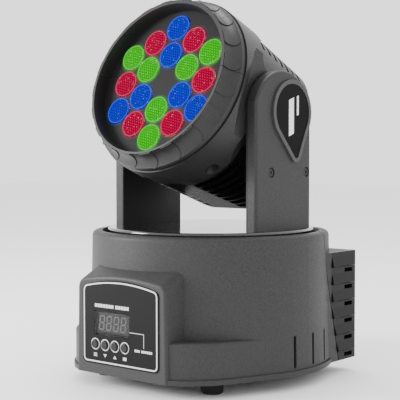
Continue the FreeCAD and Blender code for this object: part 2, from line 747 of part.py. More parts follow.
# ---------------------------------------------------------------- electronics in the base
def power_supply_board():
    z = FOOT_H + TRAY_T + 4.0
    board = box(-47, -6, -34, 52, z, z + 1.6)
    parts = [box(-44, -20, -6, 20, z + 1.6, z + 24), box(-40, -18, 26, 44, z + 1.6, z + 17),
             post(7, -38, -20, z + 1.6, z + 26), post(5, -20, -22, z + 1.6, z + 20)]
    legs = [post(2.5, x, y, FOOT_H + TRAY_T, z) for x in (-43, -10) for y in (-30, 48)]
    return join([board] + parts + legs)


def main_board():
    z = FOOT_H + TRAY_T + 4.0
    board = box(14, 46, -34, 36, z, z + 1.6)
    parts = [box(24, 38, -10, 4, z + 1.6, z + 4), box(20, 27, 14, 32, z + 1.6, z + 10),
             box(34, 44, -30, -18, z + 1.6, z + 8), box(34, 44, 14, 30, z + 1.6, z + 12)]
    legs = [post(2.5, x, y, FOOT_H + TRAY_T, z) for x in (18, 42) for y in (-30, 33)]
    return join([board] + parts + legs)


# ---------------------------------------------------------------- pan drive
def stepper(shaft_len):
    """A square stepper motor whose face is at Z = 0 and whose shaft runs along +Z."""
    half = MOTOR_HALF
    body = rounded_box(-half, half, -half, half, -MOTOR_LEN, 0, 3.0, "z")
    groove = box(-half - 1, half + 1, -half - 1, half + 1, -MOTOR_LEN + 7, -7)
    core = rounded_box(-half + 0.8, half - 0.8, -half + 0.8, half - 0.8,
                       -MOTOR_LEN + 6, -6, 5.0, "z")
    body = body.cut(groove.cut(core))
    return join([body, post(11, 0, 0, 0, 1.5), post(MOTOR_SHAFT_R, 0, 0, 0, shaft_len)])


def motor_seat_z():
    return PULLEY_Z - 6.0


def pan_motor():
    return placed(stepper(BELT_W + 9.0), (0, -PAN_MOTOR_Y, motor_seat_z() - 2.0))


def pan_motor_shelf():
    """The folded shelf under the chassis plate that carries the pan motor."""
    z = motor_seat_z()
    y = -PAN_MOTOR_Y
    shelf = box(-26, 26, y - 14, y + 18, z - 2.0, z)
    tools = [post(11.3, 0, y, z - 5, z + 5)]
    wall = 2.0
    sides = [box(-26, -26 + wall, y - 14, y + 18, z - 2.0, CHASSIS_Z),
             box(26 - wall, 26, y - 14, y + 18, z - 2.0, CHASSIS_Z)]
    return join([shelf] + sides).cut(tools)


def pan_motor_pulley():
    wheel = pulley(PAN_MOTOR_PULLEY_R, MOTOR_SHAFT_R + MOTOR_FIT, BELT_W + 0.8, 1.6)
    return placed(wheel, (0, -PAN_MOTOR_Y, PULLEY_Z))


def pan_pulley():
    wheel = pulley(PAN_PULLEY_R, SHAFT_R, BELT_W + 0.8, 1.6)
    holes = [post(5.5, 22.5 * math.cos(k * math.pi / 3), 22.5 * math.sin(k * math.pi / 3), -3, 12)
             for k in range(6)]
    return placed(wheel.cut(holes), (0, 0, PULLEY_Z))


def pan_belt():
    loop = belt_loop(PAN_PULLEY_R, PAN_MOTOR_PULLEY_R, PAN_MOTOR_Y, BELT_W, BELT_FREE)
    loop.rotate(V(0, 0, 0), V(0, 0, 1), 180)
    loop.translate(V(0, 0, PULLEY_Z + 0.4))
    return loop


def pan_shaft():
    """The hollow spindle under the turntable, with a shoulder over the bearing."""
    tube = post(SHAFT_R, 0, 0, SHAFT_LOW, DISC_BOTTOM)
    shoulder = post(SHAFT_R + 1.5, 0, 0, CHASSIS_Z, DISC_BOTTOM)
    return join([tube, shoulder]).cut(post(SHAFT_BORE, 0, 0, SHAFT_LOW - 1, DISC_BOTTOM + 1))


def race(r_in, r_out):
    """One bearing race with the half-round track that the balls run in."""
    z0 = CHASSIS_Z - BEARING_H
    ring = post(r_out, 0, 0, z0, CHASSIS_Z).cut(post(r_in, 0, 0, z0 - 1, CHASSIS_Z + 1))
    track = Part.makeTorus((SHAFT_R + BEARING_R) / 2, 1.6, V(0, 0, z0 + BEARING_H / 2))
    return ring.cut(track)


def pan_bearing_balls():
    balls = []
    for i in range(14):
        turn = 2 * math.pi * i / 14
        r = (SHAFT_R + BEARING_R) / 2
        centre = V(r * math.cos(turn), r * math.sin(turn), CHASSIS_Z - BEARING_H / 2)
        balls.append(Part.makeSphere(1.3, centre))
    return group(balls)


def pan_retaining_ring():
    z = CHASSIS_Z - BEARING_H
    ring = post(SHAFT_R + 1.6, 0, 0, z - 2.0, z).cut(post(SHAFT_R, 0, 0, z - 3, z + 1))
    return ring.cut(box(0, 30, -1.5, 1.5, z - 3, z + 1))


# ---------------------------------------------------------------- yoke
def turntable():
    """The glossy disc: a closed roof, a skirt and a hub over the spindle.

    Cables come up the spindle, out through the hub's two windows and up into the arms.
    """
    disc = post(DISC_R, 0, 0, DISC_BOTTOM, DISC_TOP)
    top = [e for e in disc.Edges if e.BoundBox.ZMin > DISC_TOP - 0.01]
    disc = disc.makeFillet(1.6, top)
    hollow = post(DISC_R - 3.0, 0, 0, DISC_BOTTOM - 1, DISC_TOP - DISC_ROOF)
    hub = post(20.0, 0, 0, DISC_BOTTOM - 2, DISC_TOP)
    under_roof = DISC_TOP - DISC_ROOF
    tools = [hollow.cut(hub), post(SHAFT_BORE, 0, 0, DISC_BOTTOM - 5, under_roof)]
    tools.append(box(-25, 25, -CABLE_R, CABLE_R, under_roof - 2 * CABLE_R, under_roof))
    for x, y in yoke_bolt_places():
        tools.append(post(2.2, x, y, DISC_BOTTOM - 5, DISC_TOP + 5))
    for sx in (-1, 1):
        tools.append(post(CABLE_R, sx * (ARM_IN + ARM_OUT) / 2, 0, DISC_BOTTOM - 5, DISC_TOP + 5))
    return disc.cut(tools)


def yoke_bolt_places():
    x = (ARM_OUT + ARM_IN) / 2
    return [(sx * x, y) for sx in (-1, 1) for y in (-14.0, 14.0)]


def arm_outline(x, inset, low):
    """An arm's side view: straight sides under a low round top."""
    half = ARM_HALF_D - inset
    top = ARM_TOP - inset
    lower = DISC_TOP + low
    knee = V(x, half, ARM_SHOULDER)
    spring = V(x, -half, ARM_SHOULDER)
    edges = [
        Part.LineSegment(V(x, -half, lower), V(x, half, lower)).toShape(),
        Part.LineSegment(V(x, half, lower), knee).toShape(),
        Part.Arc(knee, V(x, 0, top), spring).toShape(),
        Part.LineSegment(spring, V(x, -half, lower)).toShape(),
    ]
    return Part.Face(Part.Wire(edges))


def arm_cover():
    """The outer shell of the right arm, open towards the head."""
    skin_x = ARM_IN + ARM_SKIN
    outer = arm_outline(skin_x, 0, 0).extrude(V(ARM_OUT - skin_x, 0, 0))
    rim = [e for e in outer.Edges
           if e.BoundBox.XMin > ARM_OUT - 0.01 and e.BoundBox.ZMax > DISC_TOP + 0.01]
    outer = outer.makeFillet(2.2, rim)
    inner = arm_outline(skin_x - 1, WALL, -1).extrude(V(ARM_OUT - skin_x + 1 - 2.4, 0, 0))
    seats = [across(3.6, ARM_OUT - 1.6, ARM_OUT + 2, y, ARM_SCREW_Z) for y in arm_screw_ys()]
    holes = [across(1.7, ARM_IN, ARM_OUT + 2, y, ARM_SCREW_Z) for y in arm_screw_ys()]
    return outer.cut([inner] + seats + holes)


def arm_inner():
    """The flat black skin of the right arm that faces the head."""
    plate = arm_outline(ARM_IN, 0, 0).extrude(V(ARM_SKIN, 0, 0))
    return plate.cut(across(AXLE_R + 1.0, ARM_IN - 1, ARM_IN + 3, 0, TILT_Z))


def arm_screw_ys():
    return (-ARM_SCREW_Y + 6.6, ARM_SCREW_Y + 6.0)


def bracket_x():
    return ARM_IN + ARM_SKIN + 0.5


def arm_bracket():
    """The steel strip inside the right arm, from the turntable up to the axle."""
    x0 = bracket_x()
    x1 = x0 + BRACKET_T
    strip = arm_outline(x0, 9.0, 0).extrude(V(BRACKET_T, 0, 0))
    foot = box(x0, ARM_OUT - 2.6, -20, 20, DISC_TOP, DISC_TOP + 5.0)
    tools = [across(AXLE_R - 1.5, x0 - 1, x1 + 1, 0, TILT_Z)]
    tools.append(post(CABLE_R, (ARM_IN + ARM_OUT) / 2, 0, DISC_TOP - 1, DISC_TOP + 9))
    tools += [box(x0 - 1, x1 + 1, -10, 10, z, z + 16) for z in (126, 168)]
    tools += [post(1.6, x, y, DISC_TOP - 1, DISC_TOP + 6) for x, y in yoke_bolt_places() if x > 0]
    tools += [across(1.3, x0 - 1, x1 + 1, y, ARM_SCREW_Z) for y in arm_screw_ys() if abs(y) < 22]
    return join([strip, foot]).cut(tools)


def yoke_screws():
    """Screws up through the turntable into the arms' feet, and into the arms' outer skins."""
    foot_screw = socket_screw(1.6, DISC_ROOF + 4.0, 3.2, 2.2)
    feet = [placed(foot_screw, (x, y, DISC_TOP - DISC_ROOF)) for x, y in yoke_bolt_places()]
    skin_screw = socket_screw(1.3, 5.0, 2.8, 1.1)
    right = [placed(skin_screw, (ARM_OUT - 1.6, y, ARM_SCREW_Z), (-1, 0, 0))
             for y in arm_screw_ys()]
    return group(feet + right + [mirrored(s) for s in right])


def badge_outline(x, inset):
    """A drop shape: a wide round top that narrows to a rounded point."""
    top_r = 23.5 - inset
    tip_r = 6.0 - inset
    centre_z = 195.5
    tip_z = 165.0
    lean = math.asin((top_r - tip_r) / (centre_z - tip_z))
    wide = V(x, 8.6 + top_r * math.cos(lean), centre_z - top_r * math.sin(lean))
    narrow = V(x, 13.2 + tip_r * math.cos(lean), tip_z - tip_r * math.sin(lean))
    wide_b = V(x, 8.6 - top_r * math.cos(lean), centre_z - top_r * math.sin(lean))
    narrow_b = V(x, 13.2 - tip_r * math.cos(lean), tip_z - tip_r * math.sin(lean))
    edges = [
        Part.Arc(wide, V(x, 8.6, centre_z + top_r), wide_b).toShape(),
        Part.LineSegment(wide_b, narrow_b).toShape(),
        Part.Arc(narrow_b, V(x, 13.2, tip_z - tip_r), narrow).toShape(),
        Part.LineSegment(narrow, wide).toShape(),
    ]
    return Part.Face(Part.Wire(edges))


def arm_badge():
    """The raised drop-shaped badge on the outside of the right arm, with a sunk face."""
    plate = badge_outline(ARM_OUT, 0).extrude(V(BADGE_T, 0, 0))
    well = badge_outline(ARM_OUT + BADGE_T - 0.5, 3.0).extrude(V(2, 0, 0))
    return plate.cut(well)


def tilt_axle():
    """The right stub axle: a flange on the bracket and a hollow journal into the head."""
    x0 = bracket_x()
    journal = across(AXLE_R, AXLE_TIP, x0, 0, TILT_Z)
    flange = across(AXLE_R + 0.7, ARM_IN + 0.2, x0, 0, TILT_Z)
    spigot = across(AXLE_R - 1.5, x0, x0 + BRACKET_T, 0, TILT_Z)
    return join([journal, flange, spigot]).cut(
        across(AXLE_BORE, AXLE_TIP - 1, x0 + BRACKET_T + 1, 0, TILT_Z))


def tilt_fixed_pulley():
    wheel = pulley(TILT_PULLEY_R, AXLE_R, BELT_W + 0.8, 1.4)
    return placed(wheel, (TILT_BELT_X, 0, TILT_Z), (1, 0, 0))


# ---------------------------------------------------------------- head
def bezel():
    """The round front bezel with its raised finger grips."""
    ring = lathe([(0, GROOVE_N), (BEZEL_R, GROOVE_N), (BEZEL_R - 0.4, GROOVE_N + 3),
                  (BEZEL_FRONT_R, BEZEL_FRONT_N, -BEZEL_BULGE), (0, BEZEL_FRONT_N)], HEAD_V)
    swell = lathe([(0, GROOVE_N + 1), (BEZEL_R + GRIP_OUT, GROOVE_N + 1),
                   (BEZEL_R - 0.4 + GRIP_OUT, GROOVE_N + 3),
                   (BEZEL_FRONT_R + GRIP_OUT, BEZEL_FRONT_N - 0.4, -BEZEL_BULGE),
                   (0, BEZEL_FRONT_N - 0.4)], HEAD_V)
    half = GRIP_W / 2
    end_y = -GRIP_N - half
    blank = box(-half, half, -BEZEL_FRONT_N, end_y, OPENING_R, COLLAR_R + 5)
    blank = blank.fuse(rod(half, (0, end_y, OPENING_R), (0, end_y, COLLAR_R + 5)))
    bars = []
    for i in range(GRIP_COUNT):
        bar = blank.copy()
        bar.rotate(V(0, 0, 0), V(0, 1, 0), 360 * (i + 0.5) / GRIP_COUNT)
        bar.translate(V(0, 0, HEAD_V))
        bars.append(bar)
    return join([ring, swell.common(group(bars))])


def collar():
    """The ring behind the bezel, flat at the cheeks, with a scalloped back edge."""
    ring = lathe([(0, COLLAR_BACK_N), (COLLAR_R - 1.5, COLLAR_BACK_N),
                  (COLLAR_R, COLLAR_BACK_N + 1.5), (COLLAR_R, GROOVE_N - GROOVE_W),
                  (0, GROOVE_N - GROOVE_W)], HEAD_V).common(cheeks_block(0))
    bites = []
    for s in (-1, 1):
        far = HEAD_V + s * 100
        bites.append(rod(SCALLOP_R, (0, -SCALLOP_N, HEAD_V), (0, -SCALLOP_N, far)))
        for notch_v in (HEAD_V + NOTCH_V, HEAD_V - NOTCH_V):
            bites.append(across(NOTCH_R, s * 45, s * 90, -NOTCH_N, notch_v))
    return ring.cut(bites)


def body_section(n, inset):
    """The rear body's outline at n: a rounded square that narrows towards the back."""
    share = (BODY_START_N - n) / (BODY_START_N - BODY_BACK_N)
    half_w, half_h, r = [a + (b - a) * share - inset
                         for a, b in (BODY_HALF_W, BODY_HALF_H, BODY_CORNER)]
    places = []
    for sx, sz in ((1, 1), (-1, 1), (-1, -1), (1, -1)):
        middle = V(sx * (half_w - r), -n, HEAD_V + sz * (half_h - r))
        side = middle + V(sx * r, 0, 0)
        end = middle + V(0, 0, sz * r)
        bend = middle + V(sx * r, 0, sz * r) * math.sqrt(0.5)
        places.append((side, bend, end) if sx == sz else (end, bend, side))
    edges = []
    for i, corner in enumerate(places):
        edges.append(Part.LineSegment(places[i - 1][2], corner[0]).toShape())
        edges.append(Part.Arc(*corner).toShape())
    return Part.Wire(edges)


def rear_body(inset, n_front, n_back):
    return Part.makeLoft([body_section(n_front, inset), body_section(n_back, inset)], True, True)


def head_outer():
    """The head's outside: round bezel, scalloped collar and a tapering rear body."""
    groove = beam_rod(BEZEL_R - GROOVE_DEPTH, 0, HEAD_V, GROOVE_N - GROOVE_W - 0.1, GROOVE_N + 0.1)
    body = rear_body(0, GROOVE_N - 2, BODY_BACK_N)
    rim = edges_at(body, lambda b: b.YMin > -BODY_BACK_N - 0.01)
    body = body.makeFillet(BODY_EDGE_R, rim)
    return join([bezel(), groove, collar(), body])


def cheeks_block(inset):
    """The room between the arms, chamfered towards the full round of the bezel."""
    half = HEAD_HALF_W - inset
    wide = half + CHEEK_FLARE
    bend = -GROOVE_N + CHEEK_FLARE_LEN
    side = [(half, 100, -100), (half, bend, -100), (wide, -GROOVE_N, -100), (wide, -100, -100)]
    other = [(-x, y, z) for x, y, z in reversed(side)]
    return prism(side + other, (0, 0, 200))


def head_hollow():
    """The space inside the shells, open to the front."""
    wide = LED_BOARD_R + 8.5
    seat = LED_BOARD_R + 6.5
    room = lathe([(0, COLLAR_ROOM_N), (wide, COLLAR_ROOM_N), (wide, LED_BOARD_N - 9),
                  (seat, LED_BOARD_N - 8), (seat, PLATE_N + 0.1), (0, PLATE_N + 0.1)], HEAD_V)
    room = room.common(cheeks_block(HEAD_WALL))
    back = rear_body(HEAD_WALL, COLLAR_ROOM_N + 1, BODY_BACK_N + HEAD_WALL)
    mouth = beam_rod(OPENING_R, 0, BEAM_V, PLATE_N, BEZEL_FRONT_N + 5, OPENING_R + 1.5)
    return [room, back, mouth]


def vent_slots(side):
    """Two banks of slots across the head, one behind another, above or below it."""
    width = VENT_W_UPPER if side > 0 else VENT_W_LOWER
    near, far = VENT_U
    low, high = (25, 100) if side > 0 else (-100, -25)
    tools = []
    for i in range(VENT_COUNT):
        y = -VENT_N0 + i * VENT_PITCH
        slot = box(near, far, y, y + width, low, high)
        tools += [slot, mirrored(slot)]
    return tools


def boss_places():
    u, n = FRONT_BOSS
    ur, nr = REAR_BOSS
    return [(sx * a, b) for sx in (-1, 1) for a, b in ((u, n), (ur, nr))]


def bush_inner_x():
    """Inner end of the bushes and their hubs, clear of the pulley beside them."""
    return TILT_BELT_X + BELT_W + 2.4


def head_shell(side):
    """One half of the head's casing: side is +1 for the upper half, -1 for the lower."""
    outer = head_outer()
    low, high = (SEAM_GAP, 120) if side > 0 else (-120, -SEAM_GAP)
    half = box(-120, 120, -120, 120, low, high)
    shell = outer.cut(head_hollow()).common(half)
    shell = shell.cut(vent_slots(side))
    for u, n in boss_places():
        stem = rod(BOSS_R, (u, -n, low), (u, -n, high))
        bore = rod(1.4, (u, -n, low - 1), (u, -n, 14))
        if side < 0:
            well = rod(SCREW_WELL_R + 1.8, (u, -n, low), (u, -n, SCREW_WELL_V + 2.0))
            stem = join([stem, well])
            bore = join([rod(1.7, (u, -n, low), (u, -n, high)),
                         rod(SCREW_WELL_R, (u, -n, low), (u, -n, SCREW_WELL_V))])
            shell = shell.cut(bore)
        shell = join([shell, stem.common(outer).cut(bore)])
    inner = bush_inner_x()
    seats = [across(BUSH_R, sx * (inner - 5), sx * (HEAD_HALF_W + 1), 0, 0) for sx in (-1, 1)]
    hubs = [across(BUSH_R + 2.5, sx * inner, sx * (HEAD_HALF_W - 0.2), 0, 0).common(half)
            for sx in (-1, 1)]
    shell = join([shell] + hubs).cut(seats)
    return tilted(shell)


def lens_spots():
    """Three rings of lens centres on a triangular grid, each with its colour."""
    spots = []
    inner = {90: "blue", 30: "green", -30: "blue", -90: "green", -150: "blue", 150: "green"}
    for degrees, colour in inner.items():
        turn = math.radians(degrees)
        for reach in (LENS_PITCH, 2 * LENS_PITCH):
            spots.append((reach * math.cos(turn), reach * math.sin(turn) + BEAM_V, colour))
    for k in range(6):
        turn = math.radians(60 * k)
        reach = LENS_PITCH * math.sqrt(3)
        spots.append((reach * math.cos(turn), reach * math.sin(turn) + BEAM_V, "red"))
    return spots


def lens_plate():
    plate = beam_rod(OPENING_R + 1.8, 0, BEAM_V, PLATE_N - PLATE_T, PLATE_N)
    holes = [beam_rod(LENS_R + 0.25, u, v, PLATE_N - PLATE_T - 1, PLATE_N + 1)
             for u, v, _ in lens_spots()]
    return tilted(plate.cut(holes))


def lens():
    """One collimator: a shallow dome on a rim, and a cone that narrows to the LED."""
    n0 = LED_BOARD_N + 1.5
    rim_n = LENS_FRONT_N - 1.6
    cone = rod(4.2, (0, -n0, 0), (0, -rim_n, 0), LENS_R - 0.3)
    rim = rod(LENS_R, (0, -rim_n, 0), (0, -rim_n - 0.9, 0))
    dome_r = 55.0
    crown = Part.makeSphere(dome_r, V(0, -LENS_FRONT_N + dome_r, 0))
    crown = crown.common(rod(LENS_R - 0.4, (0, -rim_n, 0), (0, -LENS_FRONT_N - 1, 0)))
    return join([cone, rim, crown])


def lenses(colour):
    made = []
    for u, v, c in lens_spots():
        if c == colour:
            piece = lens()
            piece.translate(V(u, 0, v))
            made.append(tilted(piece))
    return group(made)


def led_board():
    disc = beam_rod(LED_BOARD_R, 0, BEAM_V, LED_BOARD_N - LED_BOARD_T, LED_BOARD_N)
    holes = []
    for degrees in (15, 105, 195, 285):
        turn = math.radians(degrees)
        holes.append(beam_rod(1.6, 50 * math.cos(turn), BEAM_V + 50 * math.sin(turn), 0, 60))
    return tilted(disc.cut(holes))


def led_emitters():
    chips = []
    for u, v, _ in lens_spots():
        chips.append(tilted(box(u - 2.4, u + 2.4, -LED_BOARD_N - 1.2, -LED_BOARD_N, v - 2.4, v + 2.4)))
    return group(chips)


def heat_sink():
    """An aluminium plate behind the LED board with upright fins towards the fan."""
    n1 = LED_BOARD_N - LED_BOARD_T
    n0 = n1 - SINK_BASE_T
    base = beam_rod(LED_BOARD_R, 0, BEAM_V, n0, n1)
    room = beam_rod(SINK_R, 0, BEAM_V, n0 - SINK_DEPTH, n0)
    fins = []
    count = int(SINK_R // FIN_PITCH)
    for i in range(-count, count + 1):
        u = i * FIN_PITCH
        fins.append(room.common(box(u - FIN_T / 2, u + FIN_T / 2, -100, 100, -100, 100)))
    well = SCREW_WELL_R + 2.4
    clear = [rod(well, (u, -n, -100), (u, -n, 100)) for u, n in boss_places() if n > 0]
    sink = join([base] + fins).cut(clear)
    return tilted(sink.common(box(-HEAD_HALF_W + 3, HEAD_HALF_W - 3, -100, 100, -100, 100)))


def head_fan_frame():
    n0 = FAN_BACK_N
    n1 = n0 + FAN_DEPTH
    v = BEAM_V
    frame = rounded_box(-FAN_HALF, FAN_HALF, -n1, -n0, v - FAN_HALF, v + FAN_HALF, 3.0, "y")
    frame = frame.cut(beam_rod(FAN_BORE, 0, v, n0 - 1, n1 + 1))
    struts = [beam_rod(14.5, 0, v, n0, n0 + 1.6)]
    for k in range(3):
        arm = box(0, FAN_BORE + 1, -n0 - 1.6, -n0, -1.6, 1.6)
        arm.rotate(V(0, 0, 0), V(0, 1, 0), 120 * k + 15)
        arm.translate(V(0, 0, v))
        struts.append(arm)
    corner = FAN_HALF - 5.0
    holes = [beam_rod(2.1, sx * corner, v + sz * corner, n0 - 1, n1 + 1)
             for sx in (-1, 1) for sz in (-1, 1)]
    return tilted(join([frame] + struts).cut(holes))


def head_fan_rotor():
    n0 = FAN_BACK_N + 2.2
    n1 = FAN_BACK_N + FAN_DEPTH - 1.0
    v = BEAM_V
    hub = beam_rod(14.0, 0, v, n0, n1)
    blades = []
    for k in range(7):
        blade = box(12, FAN_BORE - 1.0, -0.6, 0.6, -5.6, 5.6)
        blade.rotate(V(0, 0, 0), V(1, 0, 0), 38)
        blade.rotate(V(0, 0, 0), V(0, 1, 0), 360 * k / 7)
        blade.translate(V(0, -(n0 + n1) / 2, v))
        blades.append(blade.common(beam_rod(FAN_BORE - 1.0, 0, v, n0 + 0.2, n1 - 0.2)))
    return tilted(join([hub] + blades))


def tilt_motor():
    """The tilt stepper, laid across the head behind the fan."""
    shaft_len = TILT_BELT_X + BELT_W + 1.5 - TILT_MOTOR_X
    return tilted(placed(stepper(shaft_len), (TILT_MOTOR_X, -TILT_MOTOR_N, 0), (1, 0, 0)))


def tilt_motor_bracket():
    """A steel plate on the motor's face with a leg down to the lower shell."""
    x = TILT_MOTOR_X
    y = -TILT_MOTOR_N
    edge = MOTOR_HALF + 0.5
    plate = box(x, x + 1.6, y - edge, y + edge, -MOTOR_HALF * 2, edge)
    return tilted(plate.cut(across(11.3, x - 1, x + 3, y, 0)))


def tilt_motor_pulley():
    wheel = pulley(TILT_MOTOR_PULLEY_R, MOTOR_SHAFT_R + MOTOR_FIT, BELT_W + 0.8, 1.4)
    return tilted(placed(wheel, (TILT_BELT_X, -TILT_MOTOR_N, 0), (1, 0, 0)))


def tilt_belt():
    loop = belt_loop(TILT_PULLEY_R, TILT_MOTOR_PULLEY_R, -TILT_MOTOR_N, BELT_W, BELT_FREE)
    # lay the loop's plane upright: its X becomes v, its Z becomes X
    loop.rotate(V(0, 0, 0), V(0, 1, 0), 90)
    loop.translate(V(TILT_BELT_X + 0.4, 0, 0))
    return tilted(loop)


def tilt_bushes():
    bushes = []
    for sx in (-1, 1):
        inner = sx * bush_inner_x()
        outer = sx * (HEAD_HALF_W + 0.2)
        bore = across(AXLE_R + AXLE_FIT, inner - sx, outer + sx, 0, 0)
        bushes.append(tilted(across(BUSH_R, inner, outer, 0, 0).cut(bore)))
    return group(bushes)


def head_shell_screws():
    screw = socket_screw(1.4, 12.0 - SCREW_WELL_V, 3.4, 2.2)
    return group([tilted(placed(screw, (u, -n, SCREW_WELL_V))) for u, n in boss_places()])


# ---------------------------------------------------------------- assembly
def build():
    shell = casing_shell()
    nodes = {
        "base_front_shell": base_front_shell(shell),
        "base_rear_cover": base_rear_cover(shell),
        "bottom_tray": bottom_tray(),
        "rubber_feet": rubber_feet(),
        "foot_screws": foot_screws(),
        "chassis_plate": chassis_plate(),
        "chassis_posts": chassis_posts(),
        "panel_overlay": panel_overlay(),
        "display_window": display_window(),
        "display_module": display_module(),
        "control_board": control_board(),
        "connector_plate": connector_plate(),
        "power_inlet": power_inlet(),
        "fuse_drawer": fuse_drawer(),
        "dmx_in_socket": dmx_in_socket(),
        "connector_pins": connector_pins(),
        "dmx_out_socket": dmx_out_socket(),
        "dmx_out_latch": dmx_out_latch(),
        "connector_screws": connector_screws(),
        "power_supply_board": power_supply_board(),
        "main_board": main_board(),
        "pan_motor": pan_motor(),
        "pan_motor_pulley": pan_motor_pulley(),
        "pan_pulley": pan_pulley(),
        "pan_belt": pan_belt(),
        "pan_shaft": pan_shaft(),
        "pan_bearing_inner": race(SHAFT_R, SHAFT_R + RACE_T),
        "pan_bearing_outer": race(BEARING_R - RACE_T, BEARING_R),
        "pan_bearing_balls": pan_bearing_balls(),
        "pan_retaining_ring": pan_retaining_ring(),
        "turntable": turntable(),
        "yoke_screws": yoke_screws(),
        "tilt_fixed_pulley": tilt_fixed_pulley(),
        "head_shell_upper": head_shell(1),
        "head_shell_lower": head_shell(-1),
        "lens_plate": lens_plate(),
        "led_board": led_board(),
        "led_emitters": led_emitters(),
        "heat_sink": heat_sink(),
        "head_fan_frame": head_fan_frame(),
        "head_fan_rotor": head_fan_rotor(),
        "tilt_motor": tilt_motor(),
        "tilt_motor_bracket": tilt_motor_bracket(),
        "tilt_motor_pulley": tilt_motor_pulley(),
        "tilt_belt": tilt_belt(),
        "tilt_bushes": tilt_bushes(),
        "head_shell_screws": head_shell_screws(),
    }
    for index, name in enumerate(BUTTONS):
        nodes["button_" + name] = button(index)
    nodes["arm_cover_right"] = arm_cover()
    nodes["arm_cover_left"] = mirrored(arm_cover())
    pairs = {"arm_inner_skins": arm_inner(), "arm_brackets": arm_bracket(),
             "arm_badges": arm_badge(), "tilt_axles": tilt_axle()}
    for name, right in pairs.items():
        nodes[name] = group([right, mirrored(right)])
    for colour in ("red", "green", "blue"):
        nodes["lenses_" + colour] = lenses(colour)
    return nodes


os.makedirs("parts", exist_ok=True)
for node, shape in build().items():
    if not shape.isValid() or not shape.Solids:
        print("check", node, shape.isValid(), len(shape.Solids))
    shape.exportStep(os.path.join("parts", node + ".step"))
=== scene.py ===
"""Finishes and fine pieces for a small moving head light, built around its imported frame."""
import math

import bmesh
import bpy
from bpy.props import FloatProperty, FloatVectorProperty, IntProperty, PointerProperty
from mathutils import Matrix, Vector


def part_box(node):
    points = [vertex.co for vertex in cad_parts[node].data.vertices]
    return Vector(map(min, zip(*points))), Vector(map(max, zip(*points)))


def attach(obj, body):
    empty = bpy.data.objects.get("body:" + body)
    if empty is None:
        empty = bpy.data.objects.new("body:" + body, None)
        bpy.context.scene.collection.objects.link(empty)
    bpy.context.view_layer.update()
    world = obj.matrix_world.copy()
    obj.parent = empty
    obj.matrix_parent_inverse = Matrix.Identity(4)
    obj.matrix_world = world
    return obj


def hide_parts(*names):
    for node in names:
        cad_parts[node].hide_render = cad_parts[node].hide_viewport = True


bl_info = {
    "name": "Moving Head Light",
    "version": (1, 0, 0),
    "blender": (4, 5, 0),
    "location": "View3D > Sidebar > Light",
    "description": "Finishes and fine pieces for a small moving head light",
    "category": "Object",
}

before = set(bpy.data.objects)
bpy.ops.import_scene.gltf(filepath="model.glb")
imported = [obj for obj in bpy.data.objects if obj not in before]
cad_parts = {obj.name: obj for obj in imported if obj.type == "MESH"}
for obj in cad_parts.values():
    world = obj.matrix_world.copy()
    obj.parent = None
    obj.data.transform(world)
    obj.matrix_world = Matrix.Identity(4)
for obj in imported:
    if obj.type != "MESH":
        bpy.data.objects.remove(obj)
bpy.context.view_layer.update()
MM = 0.001
PRINT_T = 0.1 * MM          # thickness of a printed mark
PLATE_FRONT = 54.6 * MM     # the lens plate's face, in front of the tilt axis
FINE_GRAIN = 1500           # texture marks in a metre
COARSE_GRAIN = 800
# very dark colour for the head's painted shade along a narrow ring and around its lower vent
# openings
SHADE_BLACK = (0.002, 0.002, 0.002)

CAMERA_PLACE = (0.5177, -0.6302, 0.1669)
CAMERA_DIP = math.radians(2.58)
CAMERA_TURN = math.radians(39.4)
CAMERA_LENS = 96.6
CAMERA_SHIFT = -0.0267
LIGHTS_AIM = (0, 0, 0.13)
SOFTBOXES = (               # name, place, side and power
    ("key", (-0.85, -0.85, 0.45), 0.4, 24.0),
    ("top", (-0.1, 0.3, 1.15), 0.5, 7.0),
)

BADGE_TOP = (8.6 * MM, 195.5 * MM, 23.5 * MM)   # y, z and radius of the badge's round top
BADGE_TIP = (13.2 * MM, 165.0 * MM, 6.0 * MM)
BADGE_SUNK = 0.5 * MM
BADGE_FACE_T = 0.12 * MM
BADGE_BARS = ((7.0, 178.0, 26.0, 6.0), (15.0, 193.0, 14.0, 2.2))    # y, z, length and width

SEGMENT_HALF_W = 2.15 * MM
SEGMENT_HALF_H = 4.9 * MM
SEGMENT_T = 0.52 * MM
SEGMENT_GAP = 0.55 * MM
SEGMENT_LEAN = 0.12

FOOT_R = 9.0 * MM
FOOT_RIBS = 5

LENS_COLOURS = {
    90: "blue", 30: "green", -30: "blue", -90: "green", -150: "blue", 150: "green",
}


# ---------------------------------------------------------------- settings
class LightSizes(bpy.types.PropertyGroup):
    """Sizes that a user would change."""
    beam_lift: FloatProperty(
        name="Beam lift", description="How far the beam points above level at rest",
        default=math.radians(22.07), subtype="ANGLE")
    tilt_height: FloatProperty(
        name="Tilt height", description="Height of the tilt axis",
        default=201.0 * MM, unit="LENGTH", subtype="DISTANCE")
    beam_drop: FloatProperty(
        name="Beam drop", description="How far the beam's centre lies below the parting plane",
        default=5.3 * MM, unit="LENGTH", subtype="DISTANCE")
    lens_pitch: FloatProperty(
        name="Lens pitch", description="Distance between neighbouring lenses",
        default=21.5 * MM, unit="LENGTH", subtype="DISTANCE")
    lens_radius: FloatProperty(
        name="Lens radius", description="Radius of a lens at its rim",
        default=10.0 * MM, unit="LENGTH", subtype="DISTANCE")
    lens_front: FloatProperty(
        name="Lens front", description="How far the lens crowns stand in front of the tilt axis",
        default=56.5 * MM, unit="LENGTH", subtype="DISTANCE")
    pebble: FloatProperty(
        name="Pebble size", description="Distance between the pebbles on a lens",
        default=1.9 * MM, unit="LENGTH", subtype="DISTANCE")
    border: FloatProperty(
        name="Border width", description="Width of the line printed around the panel",
        default=1.0 * MM, unit="LENGTH", subtype="DISTANCE")
    lens_rings: IntProperty(
        name="Lens rings", description="Rings of faces across a lens dome", default=16, min=4)


